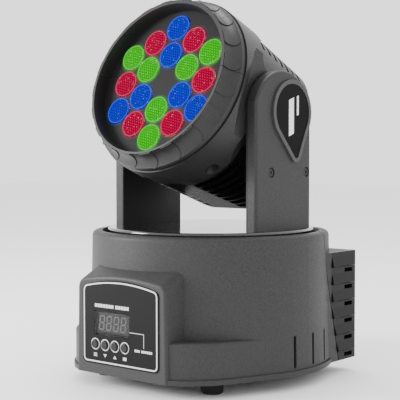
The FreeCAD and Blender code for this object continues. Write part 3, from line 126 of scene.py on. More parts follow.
class LightColours(bpy.types.PropertyGroup):
    """Colours that a user would change."""
    casing: FloatVectorProperty(
        name="Casing", description="Moulded casing", subtype="COLOR",
        default=(0.028, 0.028, 0.0285))
    head: FloatVectorProperty(
        name="Head", description="Moulded head", subtype="COLOR", default=(0.015, 0.015, 0.0154))
    ink: FloatVectorProperty(
        name="Ink", description="Printed marks", subtype="COLOR", default=(0.56, 0.56, 0.56))
    red: FloatVectorProperty(
        name="Red", description="Red lenses", subtype="COLOR", default=(0.62, 0.0, 0.06))
    green: FloatVectorProperty(
        name="Green", description="Green lenses", subtype="COLOR", default=(0.02, 0.72, 0.0))
    blue: FloatVectorProperty(
        name="Blue", description="Blue lenses", subtype="COLOR", default=(0.0, 0.02, 0.80))


def sizes():
    return bpy.context.scene.light_sizes


def colours():
    return bpy.context.scene.light_colours


# ---------------------------------------------------------------- materials
class Wire:
    """An output socket that can be used in ordinary arithmetic."""

    def __init__(self, finish, socket):
        self.finish = finish
        self.socket = socket

    def calc(self, operation, first, second):
        return self.finish.node("ShaderNodeMath", {"operation": operation}, {0: first, 1: second})

    def __add__(self, other):
        return self.calc("ADD", self, other)

    def __radd__(self, other):
        return self.calc("ADD", other, self)

    def __sub__(self, other):
        return self.calc("SUBTRACT", self, other)

    def __rsub__(self, other):
        return self.calc("SUBTRACT", other, self)

    def __mul__(self, other):
        return self.calc("MULTIPLY", self, other)

    def __rmul__(self, other):
        return self.calc("MULTIPLY", other, self)

    def __pow__(self, other):
        return self.calc("POWER", self, other)


class Finish:
    """A material being made: its main shader, and the nodes that feed it."""

    def __init__(self, name, **constants):
        self.material = bpy.data.materials.new(name)
        self.material.use_nodes = True
        self.tree = self.material.node_tree
        self.shader = self.tree.nodes["Principled BSDF"]
        for socket, value in constants.items():
            self.shader.inputs[socket.replace("_", " ")].default_value = value
        self.place = self.node("ShaderNodeTexCoord", output="Object")

    def node(self, kind, settings=None, inputs=None, output=0):
        """Make a node of any type, set it up, then give its inputs values or links."""
        made = self.tree.nodes.new(kind)
        for key, value in (settings or {}).items():
            if key == "stops":
                ramp = made.color_ramp.elements
                while len(ramp) < len(value):
                    ramp.new(1.0)
                for stop, (position, shade) in zip(ramp, value):
                    stop.position = position
                    stop.color = (*shade, 1) if len(shade) == 3 else shade
            else:
                setattr(made, key, value)
        for key, value in (inputs or {}).items():
            self.feed(made.inputs[key], value)
        return Wire(self, made.outputs[output])

    def feed(self, socket, value):
        if isinstance(value, Wire):
            self.tree.links.new(value.socket, socket)
        elif socket.type == "RGBA" and len(value) == 3:
            socket.default_value = (*value, 1)
        else:
            socket.default_value = value

    def drive(self, socket, value):
        self.feed(self.shader.inputs[socket], value)

    def mix(self, factor, a, b):
        """A colour between a and b."""
        return self.node("ShaderNodeMix", {"data_type": "RGBA"}, {0: factor, 6: a, 7: b}, output=2)

    def noise(self, scale, detail=2.0, where=None, distortion=0.0):
        inputs = {"Vector": where or self.place, "Scale": scale, "Detail": detail,
                  "Distortion": distortion}
        return self.node("ShaderNodeTexNoise", inputs=inputs)

    def cells(self, scale):
        return self.node("ShaderNodeTexVoronoi", inputs={"Vector": self.place, "Scale": scale})

    def stretched(self, x, y, z):
        return self.node("ShaderNodeMapping", inputs={"Vector": self.place, "Scale": (x, y, z)})

    def ramp(self, value, low, high):
        """0 below low, 1 above high, smooth between."""
        inputs = {0: value, 1: low, 2: high, 3: 0.0, 4: 1.0}
        return self.node("ShaderNodeMapRange", {"interpolation_type": "SMOOTHSTEP"}, inputs)

    def grain(self, colour, coarse_scale, dark, light):
        """A spark-eroded texture: its height, where its high spots are, and its colour."""
        height = self.noise(FINE_GRAIN, 3.0) * 0.6 + self.noise(coarse_scale) * 0.4
        speck = self.ramp(height, 0.34, 0.66)
        return height, speck, self.mix(speck, scaled(colour, dark), scaled(colour, light))

    def bump(self, height, strength, depth):
        inputs = {"Height": height, "Strength": strength, "Distance": depth}
        self.drive("Normal", self.node("ShaderNodeBump", inputs=inputs))


def scaled(colour, share):
    return tuple(min(1.0, c * share) for c in colour)


def moulded(name, colour, roughness=0.52, grain=1.0, shine=0.22):
    """Black moulded plastic with a fine spark-eroded texture."""
    f = Finish(name, Specular_IOR_Level=shine)
    cloud = f.ramp(f.noise(14.0, 3.0), 0.3, 0.7)
    height, speck, shade = f.grain(colour, FINE_GRAIN / 1.9, 0.74, 1.28)
    f.drive("Base Color", f.mix(cloud * 0.35, shade, scaled(colour, 1.12)))
    f.drive("Roughness", roughness - 0.10 * speck + 0.08 * cloud)
    f.bump(height, 0.55 * grain, 0.10 * MM)
    return f.material


def moulded_head(name, colour):
    """The head's plastic: textured outside, with painted shade that makes it very dark inside the
    bezel, along a narrow ring and around the lower vent openings.
    """
    f = Finish(name, Specular_IOR_Level=0.3)
    out = f.node("ShaderNodeVectorMath", {"operation": "SUBTRACT"},
                 {0: f.place, 1: head_point(0, 0, 0)})
    u, v, n = (f.node("ShaderNodeVectorMath", {"operation": "DOT_PRODUCT"}, {0: out, 1: axis},
                      output="Value") for axis in beam_frame())
    v = v + sizes().beam_drop
    away = (u * u + v * v) ** 0.5
    # painted shade: very dark inside the bezel opening, where the recess falls into shade
    bezel_shade = f.ramp(n, 50 * MM, 51 * MM) * (1 - f.ramp(away, 57.3 * MM, 58.2 * MM))
    # painted shade: very dark over the lower rear of the head, around the vent openings
    vent_shade = (1 - f.ramp(n, 13 * MM, 17 * MM)) * (1 - f.ramp(v, -34 * MM, -28 * MM))
    # painted shade: very dark along a narrow ring round the head
    ring_shade = f.ramp(n, 48.6 * MM, 48.9 * MM) * (1 - f.ramp(n, 49.8 * MM, 50.1 * MM))
    worn = f.ramp(f.noise(16, 4.0), 0.45, 0.75)
    height, speck, shade = f.grain(colour, COARSE_GRAIN, 0.75, 1.25)
    shade = f.mix(worn * 0.4, shade, scaled(colour, 1.35))
    shade = f.mix(vent_shade * 0.85, shade, SHADE_BLACK)
    shade = f.mix(ring_shade * 0.7, shade, SHADE_BLACK)
    f.drive("Base Color", f.mix(bezel_shade, shade, (0.0015, 0.0015, 0.0015)))
    f.drive("Roughness", 0.46 - 0.08 * speck + 0.06 * worn - 0.20 * vent_shade + 0.2 * bezel_shade)
    f.bump(height, 0.4, 0.08 * MM)
    return f.material


def louvred(name, colour):
    """The rear cover: textured outside, with painted shade that makes the louvre blocks at its
    sides near black.
    """
    f = Finish(name, Specular_IOR_Level=0.12)
    x = f.node("ShaderNodeSeparateXYZ", inputs={0: f.place}, output=0)
    y = f.node("ShaderNodeSeparateXYZ", inputs={0: f.place}, output=1)
    outward = f.ramp(x.calc("ABSOLUTE", x, 0), 80.5 * MM, 81.5 * MM)
    # painted shade mask: the louvre blocks at the far sides of the cover, where shade falls
    # between the fins
    side = outward * f.ramp(y, 38.0 * MM, 39.5 * MM)
    height, speck, shade = f.grain(colour, COARSE_GRAIN, 0.74, 1.28)
    # painted shade: the louvre blocks are coloured near black
    f.drive("Base Color", f.mix(side, shade, (0.006, 0.006, 0.006)))
    f.drive("Roughness", 0.52 - 0.10 * speck - 0.14 * side)
    f.bump(height, 0.5, 0.10 * MM)
    return f.material


def polished(name, colour, roughness):
    """Glossy plastic with faint wiping marks."""
    f = Finish(name, Coat_Weight=0.6, Coat_Roughness=0.06)
    marks = f.noise(26.0, 5.0, f.stretched(1.0, 7.0, 1.0), 1.2)
    wiped = f.ramp(marks, 0.42, 0.7)
    dust = f.ramp(f.noise(900, 2.0), 0.66, 0.74)
    f.drive("Base Color", f.mix(dust * 0.3 + wiped * 0.10, colour, scaled(colour, 6)))
    f.drive("Roughness", roughness + 0.12 * wiped + 0.2 * dust)
    f.bump(marks, 0.05, 0.3 * MM)
    return f.material


def brushed(name, colour, roughness=0.34, metallic=1.0):
    """Machined or rolled metal with lines one way."""
    f = Finish(name, Metallic=metallic)
    lines = f.noise(160.0, 4.0, f.stretched(1.0, 1.0, 22.0))
    blotch = f.noise(60.0, 3.0)
    f.drive("Base Color", f.mix(f.ramp(lines, 0.3, 0.7), scaled(colour, 0.8), scaled(colour, 1.1)))
    f.drive("Roughness", roughness + 0.16 * lines + 0.08 * blotch)
    f.bump(lines, 0.18, 0.05 * MM)
    return f.material


def rubbery(name, colour):
    f = Finish(name, Specular_IOR_Level=0.35)
    pits = f.cells(1100)
    scuff = f.ramp(f.noise(90, 4.0), 0.5, 0.72)
    f.drive("Base Color", f.mix(scuff * 0.6, colour, scaled(colour, 2.2)))
    f.drive("Roughness", 0.78 + 0.14 * scuff)
    f.bump(pits, 0.35, 0.12 * MM)
    return f.material


def board(name, colour):
    """Solder mask with traces and pads."""
    f = Finish(name)
    cells = f.node("ShaderNodeTexVoronoi", {"distance": "MANHATTAN"},
                   {"Vector": f.place, "Scale": 260.0})
    tracks = f.ramp(cells, 0.42, 0.46)
    pads = 1 - f.ramp(cells, 0.10, 0.14)
    base = f.mix(tracks, colour, scaled(colour, 1.6))
    f.drive("Base Color", f.mix(pads, base, (0.62, 0.58, 0.46)))
    f.drive("Metallic", pads * 0.8)
    f.drive("Roughness", 0.38 - 0.1 * pads)
    f.bump(tracks + pads, 0.3, 0.06 * MM)
    return f.material


def printed(name, colour):
    """Screen-printed ink with a slightly dry surface."""
    f = Finish(name)
    dry = f.noise(2600, 3.0)
    f.drive("Base Color",
            f.mix(f.ramp(dry, 0.35, 0.65), scaled(colour, 0.86), scaled(colour, 1.06)))
    f.drive("Roughness", 0.5 + 0.2 * dry)
    f.bump(dry, 0.2, 0.02 * MM)
    return f.material


def film(name, colour):
    """The panel's dark printed film, with a fine velvet texture."""
    f = Finish(name, Specular_IOR_Level=0.12)
    velvet = f.cells(1900)
    cloud = f.noise(30, 3.0)
    f.drive("Base Color", f.mix(cloud, scaled(colour, 0.8), scaled(colour, 1.25)))
    f.drive("Roughness", 0.46 + 0.16 * velvet)
    f.bump(velvet, 0.22, 0.05 * MM)
    return f.material


def smoked(name):
    """Smoked clear plastic over the display."""
    f = Finish(name, Alpha=0.20, Specular_IOR_Level=0.3)
    smear = f.noise(70, 4.0)
    f.drive("Base Color", f.mix(smear, (0.03, 0.03, 0.03), (0.045, 0.044, 0.044)))
    f.drive("Roughness", 0.10 + 0.16 * f.ramp(smear, 0.45, 0.7))
    return f.material


def lit_lens(name, colour, pale):
    """A pebbled collimator lit from behind: bright pebbles, a darker field and a light rim."""
    f = Finish(name, Specular_IOR_Level=0.0, Emission_Strength=1.0)
    rim = f.node("ShaderNodeAttribute", {"attribute_name": "reach"}, output="Fac")
    pebbles = f.node("ShaderNodeAttribute", {"attribute_name": "pebble"}, output="Fac")
    glints = f.cells(620)
    sparkle = (1 - f.ramp(glints, 0.16, 0.30)) * f.ramp(f.noise(330, 1.0), 0.50, 0.60)
    edge = f.ramp(rim, 0.86, 0.97) * (1 - f.ramp(rim, 0.985, 1.0))
    core = f.mix(f.ramp(pebbles, 0.15, 0.75), scaled(colour, 0.48), scaled(colour, 1.25))
    core = f.mix(f.ramp(rim, 0.35, 0.95) * 0.35, core, scaled(colour, 0.55))
    core = f.mix(edge * 0.22, core, pale)
    lit = f.mix(sparkle * 0.8, core, pale)
    f.drive("Base Color", f.mix(edge, scaled(colour, 0.05), scaled(colour, 0.12)))
    f.drive("Emission Color", lit)
    f.drive("Roughness", 0.14 + 0.12 * pebbles)
    return f.material


def spill(name, colour):
    """The black lens plate, with a painted glow of coloured light around every lens."""
    f = Finish(name, Emission_Strength=1.0, Specular_IOR_Level=0.15)
    velvet = f.noise(1300, 3.0)
    halo = None
    for tint in ("red", "green", "blue"):
        near = None
        for spot in lens_spots(tint):
            inputs = {0: f.place, 1: head_point(*spot, PLATE_FRONT)}
            gap = f.node("ShaderNodeVectorMath", {"operation": "DISTANCE"}, inputs, output="Value")
            near = gap if near is None else near.calc("MINIMUM", near, gap)
        # painted glow: coloured light that fades out from each lens's edge across the plate
        reach = 1 - f.ramp(near, 9.6 * MM, 13.4 * MM)
        glow = reach * reach * 0.34
        tinted = f.mix(glow, (0, 0, 0), scaled(getattr(colours(), tint), 0.9))
        halo = tinted if halo is None else f.node(
            "ShaderNodeMix", {"data_type": "RGBA", "blend_type": "ADD"},
            {0: 1.0, 6: halo, 7: tinted}, output=2)
    f.drive("Base Color", f.mix(velvet, scaled(colour, 0.8), scaled(colour, 1.2)))
    f.drive("Emission Color", halo)
    f.drive("Roughness", 0.55 + 0.15 * velvet)
    f.bump(velvet, 0.25, 0.06 * MM)
    return f.material


# ---------------------------------------------------------------- geometry helpers
def beam_frame():
    """Axes of the head: across (u), up across the beam (v), and along the beam (n)."""
    lift = sizes().beam_lift
    along = Vector((0, -math.cos(lift), math.sin(lift)))
    above = Vector((0, math.sin(lift), math.cos(lift)))
    return Vector((1, 0, 0)), above, along


def head_point(u, v, n):
    across, above, along = beam_frame()
    return Vector((0, 0, sizes().tilt_height)) + across * u + above * v + along * n


def head_matrix(u, v, n):
    """Carries a shape made about Z to a place on the head, with Z along the beam."""
    across, above, along = beam_frame()
    turn = Matrix((across, above, along)).transposed().to_4x4()
    return Matrix.Translation(head_point(u, v, n)) @ turn


def lens_spots(colour):
    """Centres of the lenses of one colour: two rings on the spokes, one between them."""
    pitch = sizes().lens_pitch
    drop = sizes().beam_drop
    spots = []
    if colour == "red":
        for k in range(6):
            turn = math.radians(60 * k)
            reach = pitch * math.sqrt(3)
            spots.append((reach * math.cos(turn), reach * math.sin(turn) - drop))
        return spots
    for degrees, tint in LENS_COLOURS.items():
        if tint == colour:
            turn = math.radians(degrees)
            for reach in (pitch, 2 * pitch):
                spots.append((reach * math.cos(turn), reach * math.sin(turn) - drop))
    return spots


def piece(name, shape, finish, body, replaced=()):
    """Turn a finished bmesh into an object that rides on a body."""
    mesh = bpy.data.meshes.new(name)
    shape.to_mesh(mesh)
    shape.free()
    mesh.materials.append(finish)
    made = bpy.data.objects.new(name, mesh)
    bpy.context.scene.collection.objects.link(made)
    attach(made, body)
    if replaced:
        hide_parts(*replaced)


def smooth(shape, angle):
    """Shade smooth, with edges sharper than an angle kept crisp."""
    for face in shape.faces:
        face.smooth = True
    for edge in shape.edges:
        if len(edge.link_faces) == 2 and edge.calc_face_angle(0) > math.radians(angle):
            edge.smooth = False


def flat_outline(shape, points, y):
    """One face from (x, z) points on an upright plane."""
    return shape.faces.new([shape.verts.new((x, y, z)) for x, z in points])


def thicken(shape, faces, offset):
    """Pull faces out by an offset and leave a closed slab."""
    bmesh.ops.recalc_face_normals(shape, faces=faces)
    grown = bmesh.ops.extrude_face_region(shape, geom=faces)
    moved = [v for v in grown["geom"] if isinstance(v, bmesh.types.BMVert)]
    bmesh.ops.translate(shape, vec=offset, verts=moved)
    bmesh.ops.recalc_face_normals(shape, faces=shape.faces)


def hoop(shape, face, width):
    """Keep only a band of a given width around the inside of a face."""
    face.normal_update()
    bmesh.ops.inset_region(shape, faces=[face], thickness=width, use_even_offset=True,
                           use_boundary=True)
    bmesh.ops.delete(shape, geom=[face], context="FACES_ONLY")


def turned(shape, outline, steps):
    """Spin an outline of (radius, height) points a full turn about Z."""
    verts = [shape.verts.new((r, 0, z)) for r, z in outline]
    edges = [shape.edges.new(pair) for pair in zip(verts, verts[1:])]
    bmesh.ops.spin(shape, geom=verts + edges, cent=(0, 0, 0), axis=(0, 0, 1), dvec=(0, 0, 0),
                   angle=2 * math.pi, steps=steps, use_merge=True)
    bmesh.ops.remove_doubles(shape, verts=shape.verts, dist=0.004 * MM)
    bmesh.ops.recalc_face_normals(shape, faces=shape.faces)


def pebbles(x, y):
    """Height of a lens's triangular pattern of pebbles at a place, from -1.5 to 3."""
    step = 2 * math.pi / sizes().pebble
    turns = (0.3 + k * math.pi / 3 for k in range(3))
    return sum(math.cos(step * (x * math.cos(a) + y * math.sin(a))) for a in turns)


def stamp(target, source, matrix):
    """Copy one bmesh into another at a place."""
    mesh = bpy.data.meshes.new("stamp")
    source.to_mesh(mesh)
    mesh.transform(matrix)
    target.from_mesh(mesh)
    bpy.data.meshes.remove(mesh)


# ---------------------------------------------------------------- operators
class Stage(bpy.types.Operator):
    """Set the camera, the floor and the lights"""
    bl_idname = "movinglight.stage"
    bl_label = "Stage"

    def execute(self, context):
        scene = context.scene
        data = bpy.data.cameras.new("camera")
        data.sensor_width = 36.0
        data.lens = CAMERA_LENS
        data.shift_x = CAMERA_SHIFT
        camera = bpy.data.objects.new("camera", data)
        scene.collection.objects.link(camera)
        camera.location = CAMERA_PLACE
        camera.rotation_euler = (math.pi / 2 - CAMERA_DIP, 0, CAMERA_TURN)
        scene.camera = camera
        self.floor(scene)
        world = bpy.data.worlds.new("studio")
        world.use_nodes = True
        background = world.node_tree.nodes["Background"]
        background.inputs["Color"].default_value = (1, 1, 1, 1)
        background.inputs["Strength"].default_value = 1.9
        scene.world = world
        for softbox in SOFTBOXES:
            self.softbox(scene, *softbox)
        return {"FINISHED"}

    def softbox(self, scene, name, place, size, power):
        data = bpy.data.lights.new(name, "AREA")
        data.size = size
        data.energy = power
        light = bpy.data.objects.new(name, data)
        light.location = place
        aim = Vector(LIGHTS_AIM) - Vector(place)
        light.rotation_euler = aim.to_track_quat("-Z", "Y").to_euler()
        scene.collection.objects.link(light)

    def floor(self, scene):
        shape = bmesh.new()
        bmesh.ops.create_grid(shape, x_segments=1, y_segments=1, size=4)
        mesh = bpy.data.meshes.new("floor")
        shape.to_mesh(mesh)
        shape.free()
        f = Finish("pale_floor", Roughness=0.75)
        f.drive("Base Color", f.mix(f.noise(5.0, 2.0), (0.93, 0.93, 0.93), (0.95, 0.95, 0.95)))
        mesh.materials.append(f.material)
        made = bpy.data.objects.new("floor", mesh)
        scene.collection.objects.link(made)


class Casings(bpy.types.Operator):
    """Finish the moulded casings, the arms and the head"""
    bl_idname = "movinglight.casings"
    bl_label = "Casings"

    def execute(self, context):
        tone = colours()
        casing = moulded("casing_texture", tone.casing)
        head = moulded_head("head_texture_and_shade", tone.head)
        arm = moulded("arm_texture", scaled(tone.casing, 0.86), 0.50)
        smooth_black = moulded("smooth_black", (0.012, 0.012, 0.013), 0.55, 0.3)
        cover("base_front_shell", casing)
        cover("base_rear_cover", louvred("rear_cover_texture_and_shade", tone.casing))
        cover("bottom_tray", moulded("tray_texture", scaled(tone.casing, 0.6), 0.6))
        cover("arm_cover_right arm_cover_left", arm)
        cover("head_shell_upper head_shell_lower", head)
        cover("arm_inner_skins", smooth_black)
        cover("turntable", polished("disc_polish", (0.006, 0.006, 0.0065), 0.09))
        cover("connector_plate fuse_drawer power_inlet dmx_out_latch", smooth_black)
        cover("dmx_in_socket dmx_out_socket",
              moulded("socket_black", (0.02, 0.02, 0.021), 0.4, 0.4))
        cover("panel_overlay", film("panel_film", (0.003, 0.003, 0.0032)))
        cover("button_menu button_down button_up button_enter",
              moulded("button_black", (0.010, 0.010, 0.011), 0.36, 0.3))
        cover("display_window", smoked("smoked_clear"))
        cover("lens_plate", spill("lens_plate_black_glow", (0.007, 0.007, 0.0075)))
        return {"FINISHED"}


class Workings(bpy.types.Operator):
    """Finish the metal parts, the boards, the belts and the motors"""
    bl_idname = "movinglight.workings"
    bl_label = "Workings"

    def execute(self, context):
        zinc = brushed("zinc_plate", (0.55, 0.55, 0.56))
        bright = brushed("bright_steel", (0.62, 0.62, 0.63), 0.22)
        oxide = brushed("black_oxide", (0.035, 0.035, 0.037), 0.4, 0.8)
        aluminium = brushed("milled_aluminium", (0.75, 0.76, 0.77), 0.3)
        brass = brushed("brass", (0.75, 0.6, 0.28), 0.25)
        belt = rubbery("belt_rubber", (0.022, 0.022, 0.022))
        black = moulded("inner_black", (0.02, 0.02, 0.021), 0.5, 0.5)
        cover("chassis_plate chassis_posts foot_screws connector_screws tilt_motor_bracket", zinc)
        cover("arm_brackets yoke_screws head_shell_screws", oxide)
        cover("pan_shaft tilt_axles pan_retaining_ring pan_bearing_inner", bright)
        cover("pan_bearing_outer pan_bearing_balls", bright)
        cover("pan_pulley tilt_fixed_pulley pan_motor_pulley tilt_motor_pulley", aluminium)
        cover("heat_sink", aluminium)
        cover("connector_pins tilt_bushes", brass)
        cover("pan_belt tilt_belt", belt)
        cover("pan_motor tilt_motor", brushed("motor_laminations", (0.10, 0.10, 0.105), 0.38, 0.9))
        cover("control_board main_board", board("green_board", (0.012, 0.10, 0.045)))
        cover("power_supply_board", board("tan_board", (0.35, 0.25, 0.10)))
        cover("led_board", board("white_board", (0.72, 0.72, 0.70)))
        cover("led_emitters", printed("phosphor", (0.72, 0.60, 0.10)))
        cover("head_fan_frame head_fan_rotor", black)
        return {"FINISHED"}


def cover(names, finish):
    """Give CAD nodes a finish."""
    for name in names.split():
        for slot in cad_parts[name].material_slots:
            slot.material = finish


class Lenses(bpy.types.Operator):
    """Make the pebbled lenses"""
    bl_idname = "movinglight.lenses"
    bl_label = "Lenses"

    def execute(self, context):
        pale = {"red": (1.0, 0.42, 0.52), "green": (0.62, 1.0, 0.42), "blue": (0.30, 0.55, 1.0)}
        for tint in ("red", "green", "blue"):
            finish = lit_lens("lens_" + tint, getattr(colours(), tint), pale[tint])
            shape = bmesh.new()
            reach = shape.verts.layers.float.new("reach")
            pebble = shape.verts.layers.float.new("pebble")
            one = self.one_lens()
            for u, v in lens_spots(tint):
                stamp(shape, one, head_matrix(u, v, 0))
            one.free()
            self.mark(shape, reach, pebble, lens_spots(tint))
            piece("lens_set_" + tint, shape, finish, "head", ["lenses_" + tint])
        return {"FINISHED"}

    def one_lens(self):
        s = sizes()
        r = s.lens_radius
        rim = s.lens_front - 1.6 * MM
        shape = bmesh.new()
        back = 46.5 * MM
        outline = [(0, back), (4.2 * MM, back), (r - 0.3 * MM, rim), (r, rim)]
        outline += [(r, rim + 0.7 * MM), (r - 0.15 * MM, rim + 0.9 * MM),
                    (r - 0.6 * MM, rim + 0.9 * MM)]
        dome = r - 0.7 * MM
        for k in range(s.lens_rings + 1):
            share = 1 - k / s.lens_rings
            rise = 0.6 * MM * (1 - share * share) + 0.75 * MM
            outline.append((dome * share, rim + rise))
        turned(shape, outline, 60)
        for vert in shape.verts:
            x, y, z = vert.co
            away = math.hypot(x, y)
            if z > rim + 0.7 * MM and away < dome:
                fade = min(1.0, (dome - away) / (0.8 * MM))
                vert.co.z += 0.055 * MM * pebbles(x, y) * fade
        smooth(shape, 50)
        return shape

    def mark(self, shape, reach, pebble, spots):
        """Store how far each point is from its lens's centre, and its place on a pebble."""
        s = sizes()
        across, above, _ = beam_frame()
        origin = Vector((0, 0, s.tilt_height))
        for vert in shape.verts:
            d = vert.co - origin
            u, v = d.dot(across), d.dot(above)
            x, y = min(((u - a, v - b) for a, b in spots), key=lambda p: math.hypot(*p))
            vert[reach] = min(1.0, math.hypot(x, y) / s.lens_radius)
            vert[pebble] = (pebbles(x, y) + 1.5) / 4.5


class PanelPrint(bpy.types.Operator):
    """Print the border, the rings and the plain marks on the control panel"""
    bl_idname = "movinglight.panel_print"
    bl_label = "Panel print"

    def execute(self, context):
        low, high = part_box("panel_overlay")
        self.y = low[1]
        ink = printed("light_ink", colours().ink)
        self.border(low, high, ink)
        window_low, window_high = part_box("display_window")
        buttons = [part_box("button_" + name) for name in ("menu", "down", "up", "enter")]
        self.rings(buttons, ink)
        self.marks(window_low, window_high, buttons, ink)
        return {"FINISHED"}

    def lay(self, name, shape, ink):
        """Give the marks their thickness, in front of the film."""
        thicken(shape, list(shape.faces), (0, -PRINT_T, 0))
        piece(name, shape, ink, "base")

    def border(self, low, high, ink):
        edge = 1.1 * MM
        half = high[0] - edge
        shoulder = high[2] - 5.4 * MM
        crown = high[2] - edge
        rise = crown - shoulder
        radius = (half * half + rise * rise) / (2 * rise)
        points = [(-half, low[2] + edge), (half, low[2] + edge)]
        for k in range(25):
            x = half - 2 * half * k / 24
            points.append((x, crown - radius + math.sqrt(radius * radius - x * x)))
        shape = bmesh.new()
        flat_outline(shape, points, self.y)
        corners = [v for v in shape.verts if abs(abs(v.co.x) - half) < 1e-6]
        bmesh.ops.bevel(shape, geom=corners, offset=3.4 * MM, offset_type="OFFSET",
                        affect="VERTICES", segments=8, profile=0.5, material=-1)
        hoop(shape, shape.faces[:][0], sizes().border)
        self.lay("panel_border", shape, ink)

    def rings(self, buttons, ink):
        inner, wide = 3.45 * MM, 0.7 * MM
        shape = bmesh.new()
        for low, high in buttons:
            x = (low[0] + high[0]) / 2
            z = (low[2] + high[2]) / 2
            upright = Matrix.Rotation(math.pi / 2, 4, "X")
            made = bmesh.ops.create_circle(
                shape, cap_ends=True, radius=inner + wide, segments=40,
                matrix=Matrix.Translation((x, self.y, z)) @ upright)
            hoop(shape, made["verts"][0].link_faces[0], wide)
        self.lay("button_rings", shape, ink)

    def bars(self, shape, x, z, widths, height, gap):
        """A row of plain bars, which stand for a line of print. A negative width is a space."""
        for width in widths:
            if width > 0:
                right, top = x + width, z + height
                flat_outline(shape, [(x, z), (right, z), (right, top), (x, top)], self.y)
            x += abs(width) + gap

    def marks(self, window_low, window_high, buttons, ink):
        shape = bmesh.new()
        title = [2.2 * MM] * 7 + [-1.0 * MM] + [2.2 * MM] * 5
        self.bars(shape, window_low[0] + 0.8 * MM, window_high[2] + 2.8 * MM, title,
                  2.4 * MM, 0.45 * MM)
        self.icons(shape, buttons)
        line = 0.35 * MM
        drop = 9.5 * MM
        start = window_high[0] + 0.6 * MM
        mid = window_low[2] + 4.2 * MM
        right = window_high[0] + 14.0 * MM
        self.bars(shape, start, mid, [right - start], line, 0)
        self.bars(shape, right - line, mid - drop, [line], drop, 0)
        label = [1.3 * MM] * 3 + [-0.8 * MM] + [1.3 * MM] * 6
        self.bars(shape, right - 8.6 * MM, mid - 12.6 * MM, label, 1.7 * MM, 0.4 * MM)
        self.lay("panel_marks", shape, ink)

    def icons(self, shape, buttons):
        """Under the buttons: three lines, a triangle down, a triangle up and a square."""
        half, tall = 1.6 * MM, 2.2 * MM
        z = buttons[0][0][2] - 4.6 * MM
        for index, (low, high) in enumerate(buttons):
            x = (low[0] + high[0]) / 2
            if index in (1, 2):
                tip = -1 if index == 1 else 1
                base = z + 1.2 * MM - tip * tall / 2
                flat_outline(shape, [(x - half, base), (x + half, base), (x, base + tip * tall)],
                             self.y)
            elif index == 0:
                for k in range(3):
                    self.bars(shape, x - half, z + k * 0.95 * MM, [2 * half], 0.5 * MM, 0)
            else:
                self.bars(shape, x - half, z, [2 * half], tall, 0)


class Display(bpy.types.Operator):
    """Make the display block with its slanted segments"""
    bl_idname = "movinglight.display"
    bl_label = "Display"

    def execute(self, context):
        low, high = (Vector(c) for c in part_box("display_module"))
        face = low.y + 0.3 * MM
        shape = bmesh.new()
        middle = (low + high) / 2
        made = bmesh.ops.create_cube(shape, size=1.0)
        bmesh.ops.scale(shape, vec=(high.x - low.x, high.y - face, high.z - low.z),
                        verts=made["verts"])
        bmesh.ops.translate(shape, vec=(middle.x, (face + high.y) / 2, middle.z),
                            verts=made["verts"])
        bmesh.ops.bevel(shape, geom=shape.edges[:], offset=0.3 * MM, affect="EDGES", segments=2,
                        profile=0.5, material=-1)
        body = moulded("display_black", (0.022, 0.020, 0.021), 0.35, 0.3)
        piece("display_block", shape, body, "base", ["display_module"])
        digits = bmesh.new()
        pitch = (high.x - low.x - 3.6 * MM) / 4
        for k in range(4):
            self.digit(digits, low.x + 0.8 * MM + pitch * (k + 0.5), middle.z, face)
        thicken(digits, list(digits.faces), (0, -0.18 * MM, 0))
        unlit = printed("unlit_segment", (0.15, 0.147, 0.147))
        piece("display_segments", digits, unlit, "base")
        return {"FINISHED"}

    def digit(self, shape, x, z, y):
        """Seven slanted bars with pointed ends."""
        t = SEGMENT_T
        outlines = []
        for dz in (-SEGMENT_HALF_H, 0, SEGMENT_HALF_H):
            w = SEGMENT_HALF_W - SEGMENT_GAP
            outlines.append([(-w - t, dz), (-w, dz - t), (w, dz - t), (w + t, dz), (w, dz + t),
                             (-w, dz + t)])
        a, b = SEGMENT_GAP, SEGMENT_HALF_H - SEGMENT_GAP
        for dx in (-SEGMENT_HALF_W, SEGMENT_HALF_W):
            for s in (-1, 1):
                outlines.append([(dx, s * (a - t / 2)), (dx + t, s * (a + t)),
                                 (dx + t, s * (b - t / 2)), (dx, s * (b + t / 2)),
                                 (dx - t, s * (b - t / 2)), (dx - t, s * (a + t))])
        for outline in outlines:
            flat_outline(shape, [(x + p + SEGMENT_LEAN * q, z + q) for p, q in outline], y)


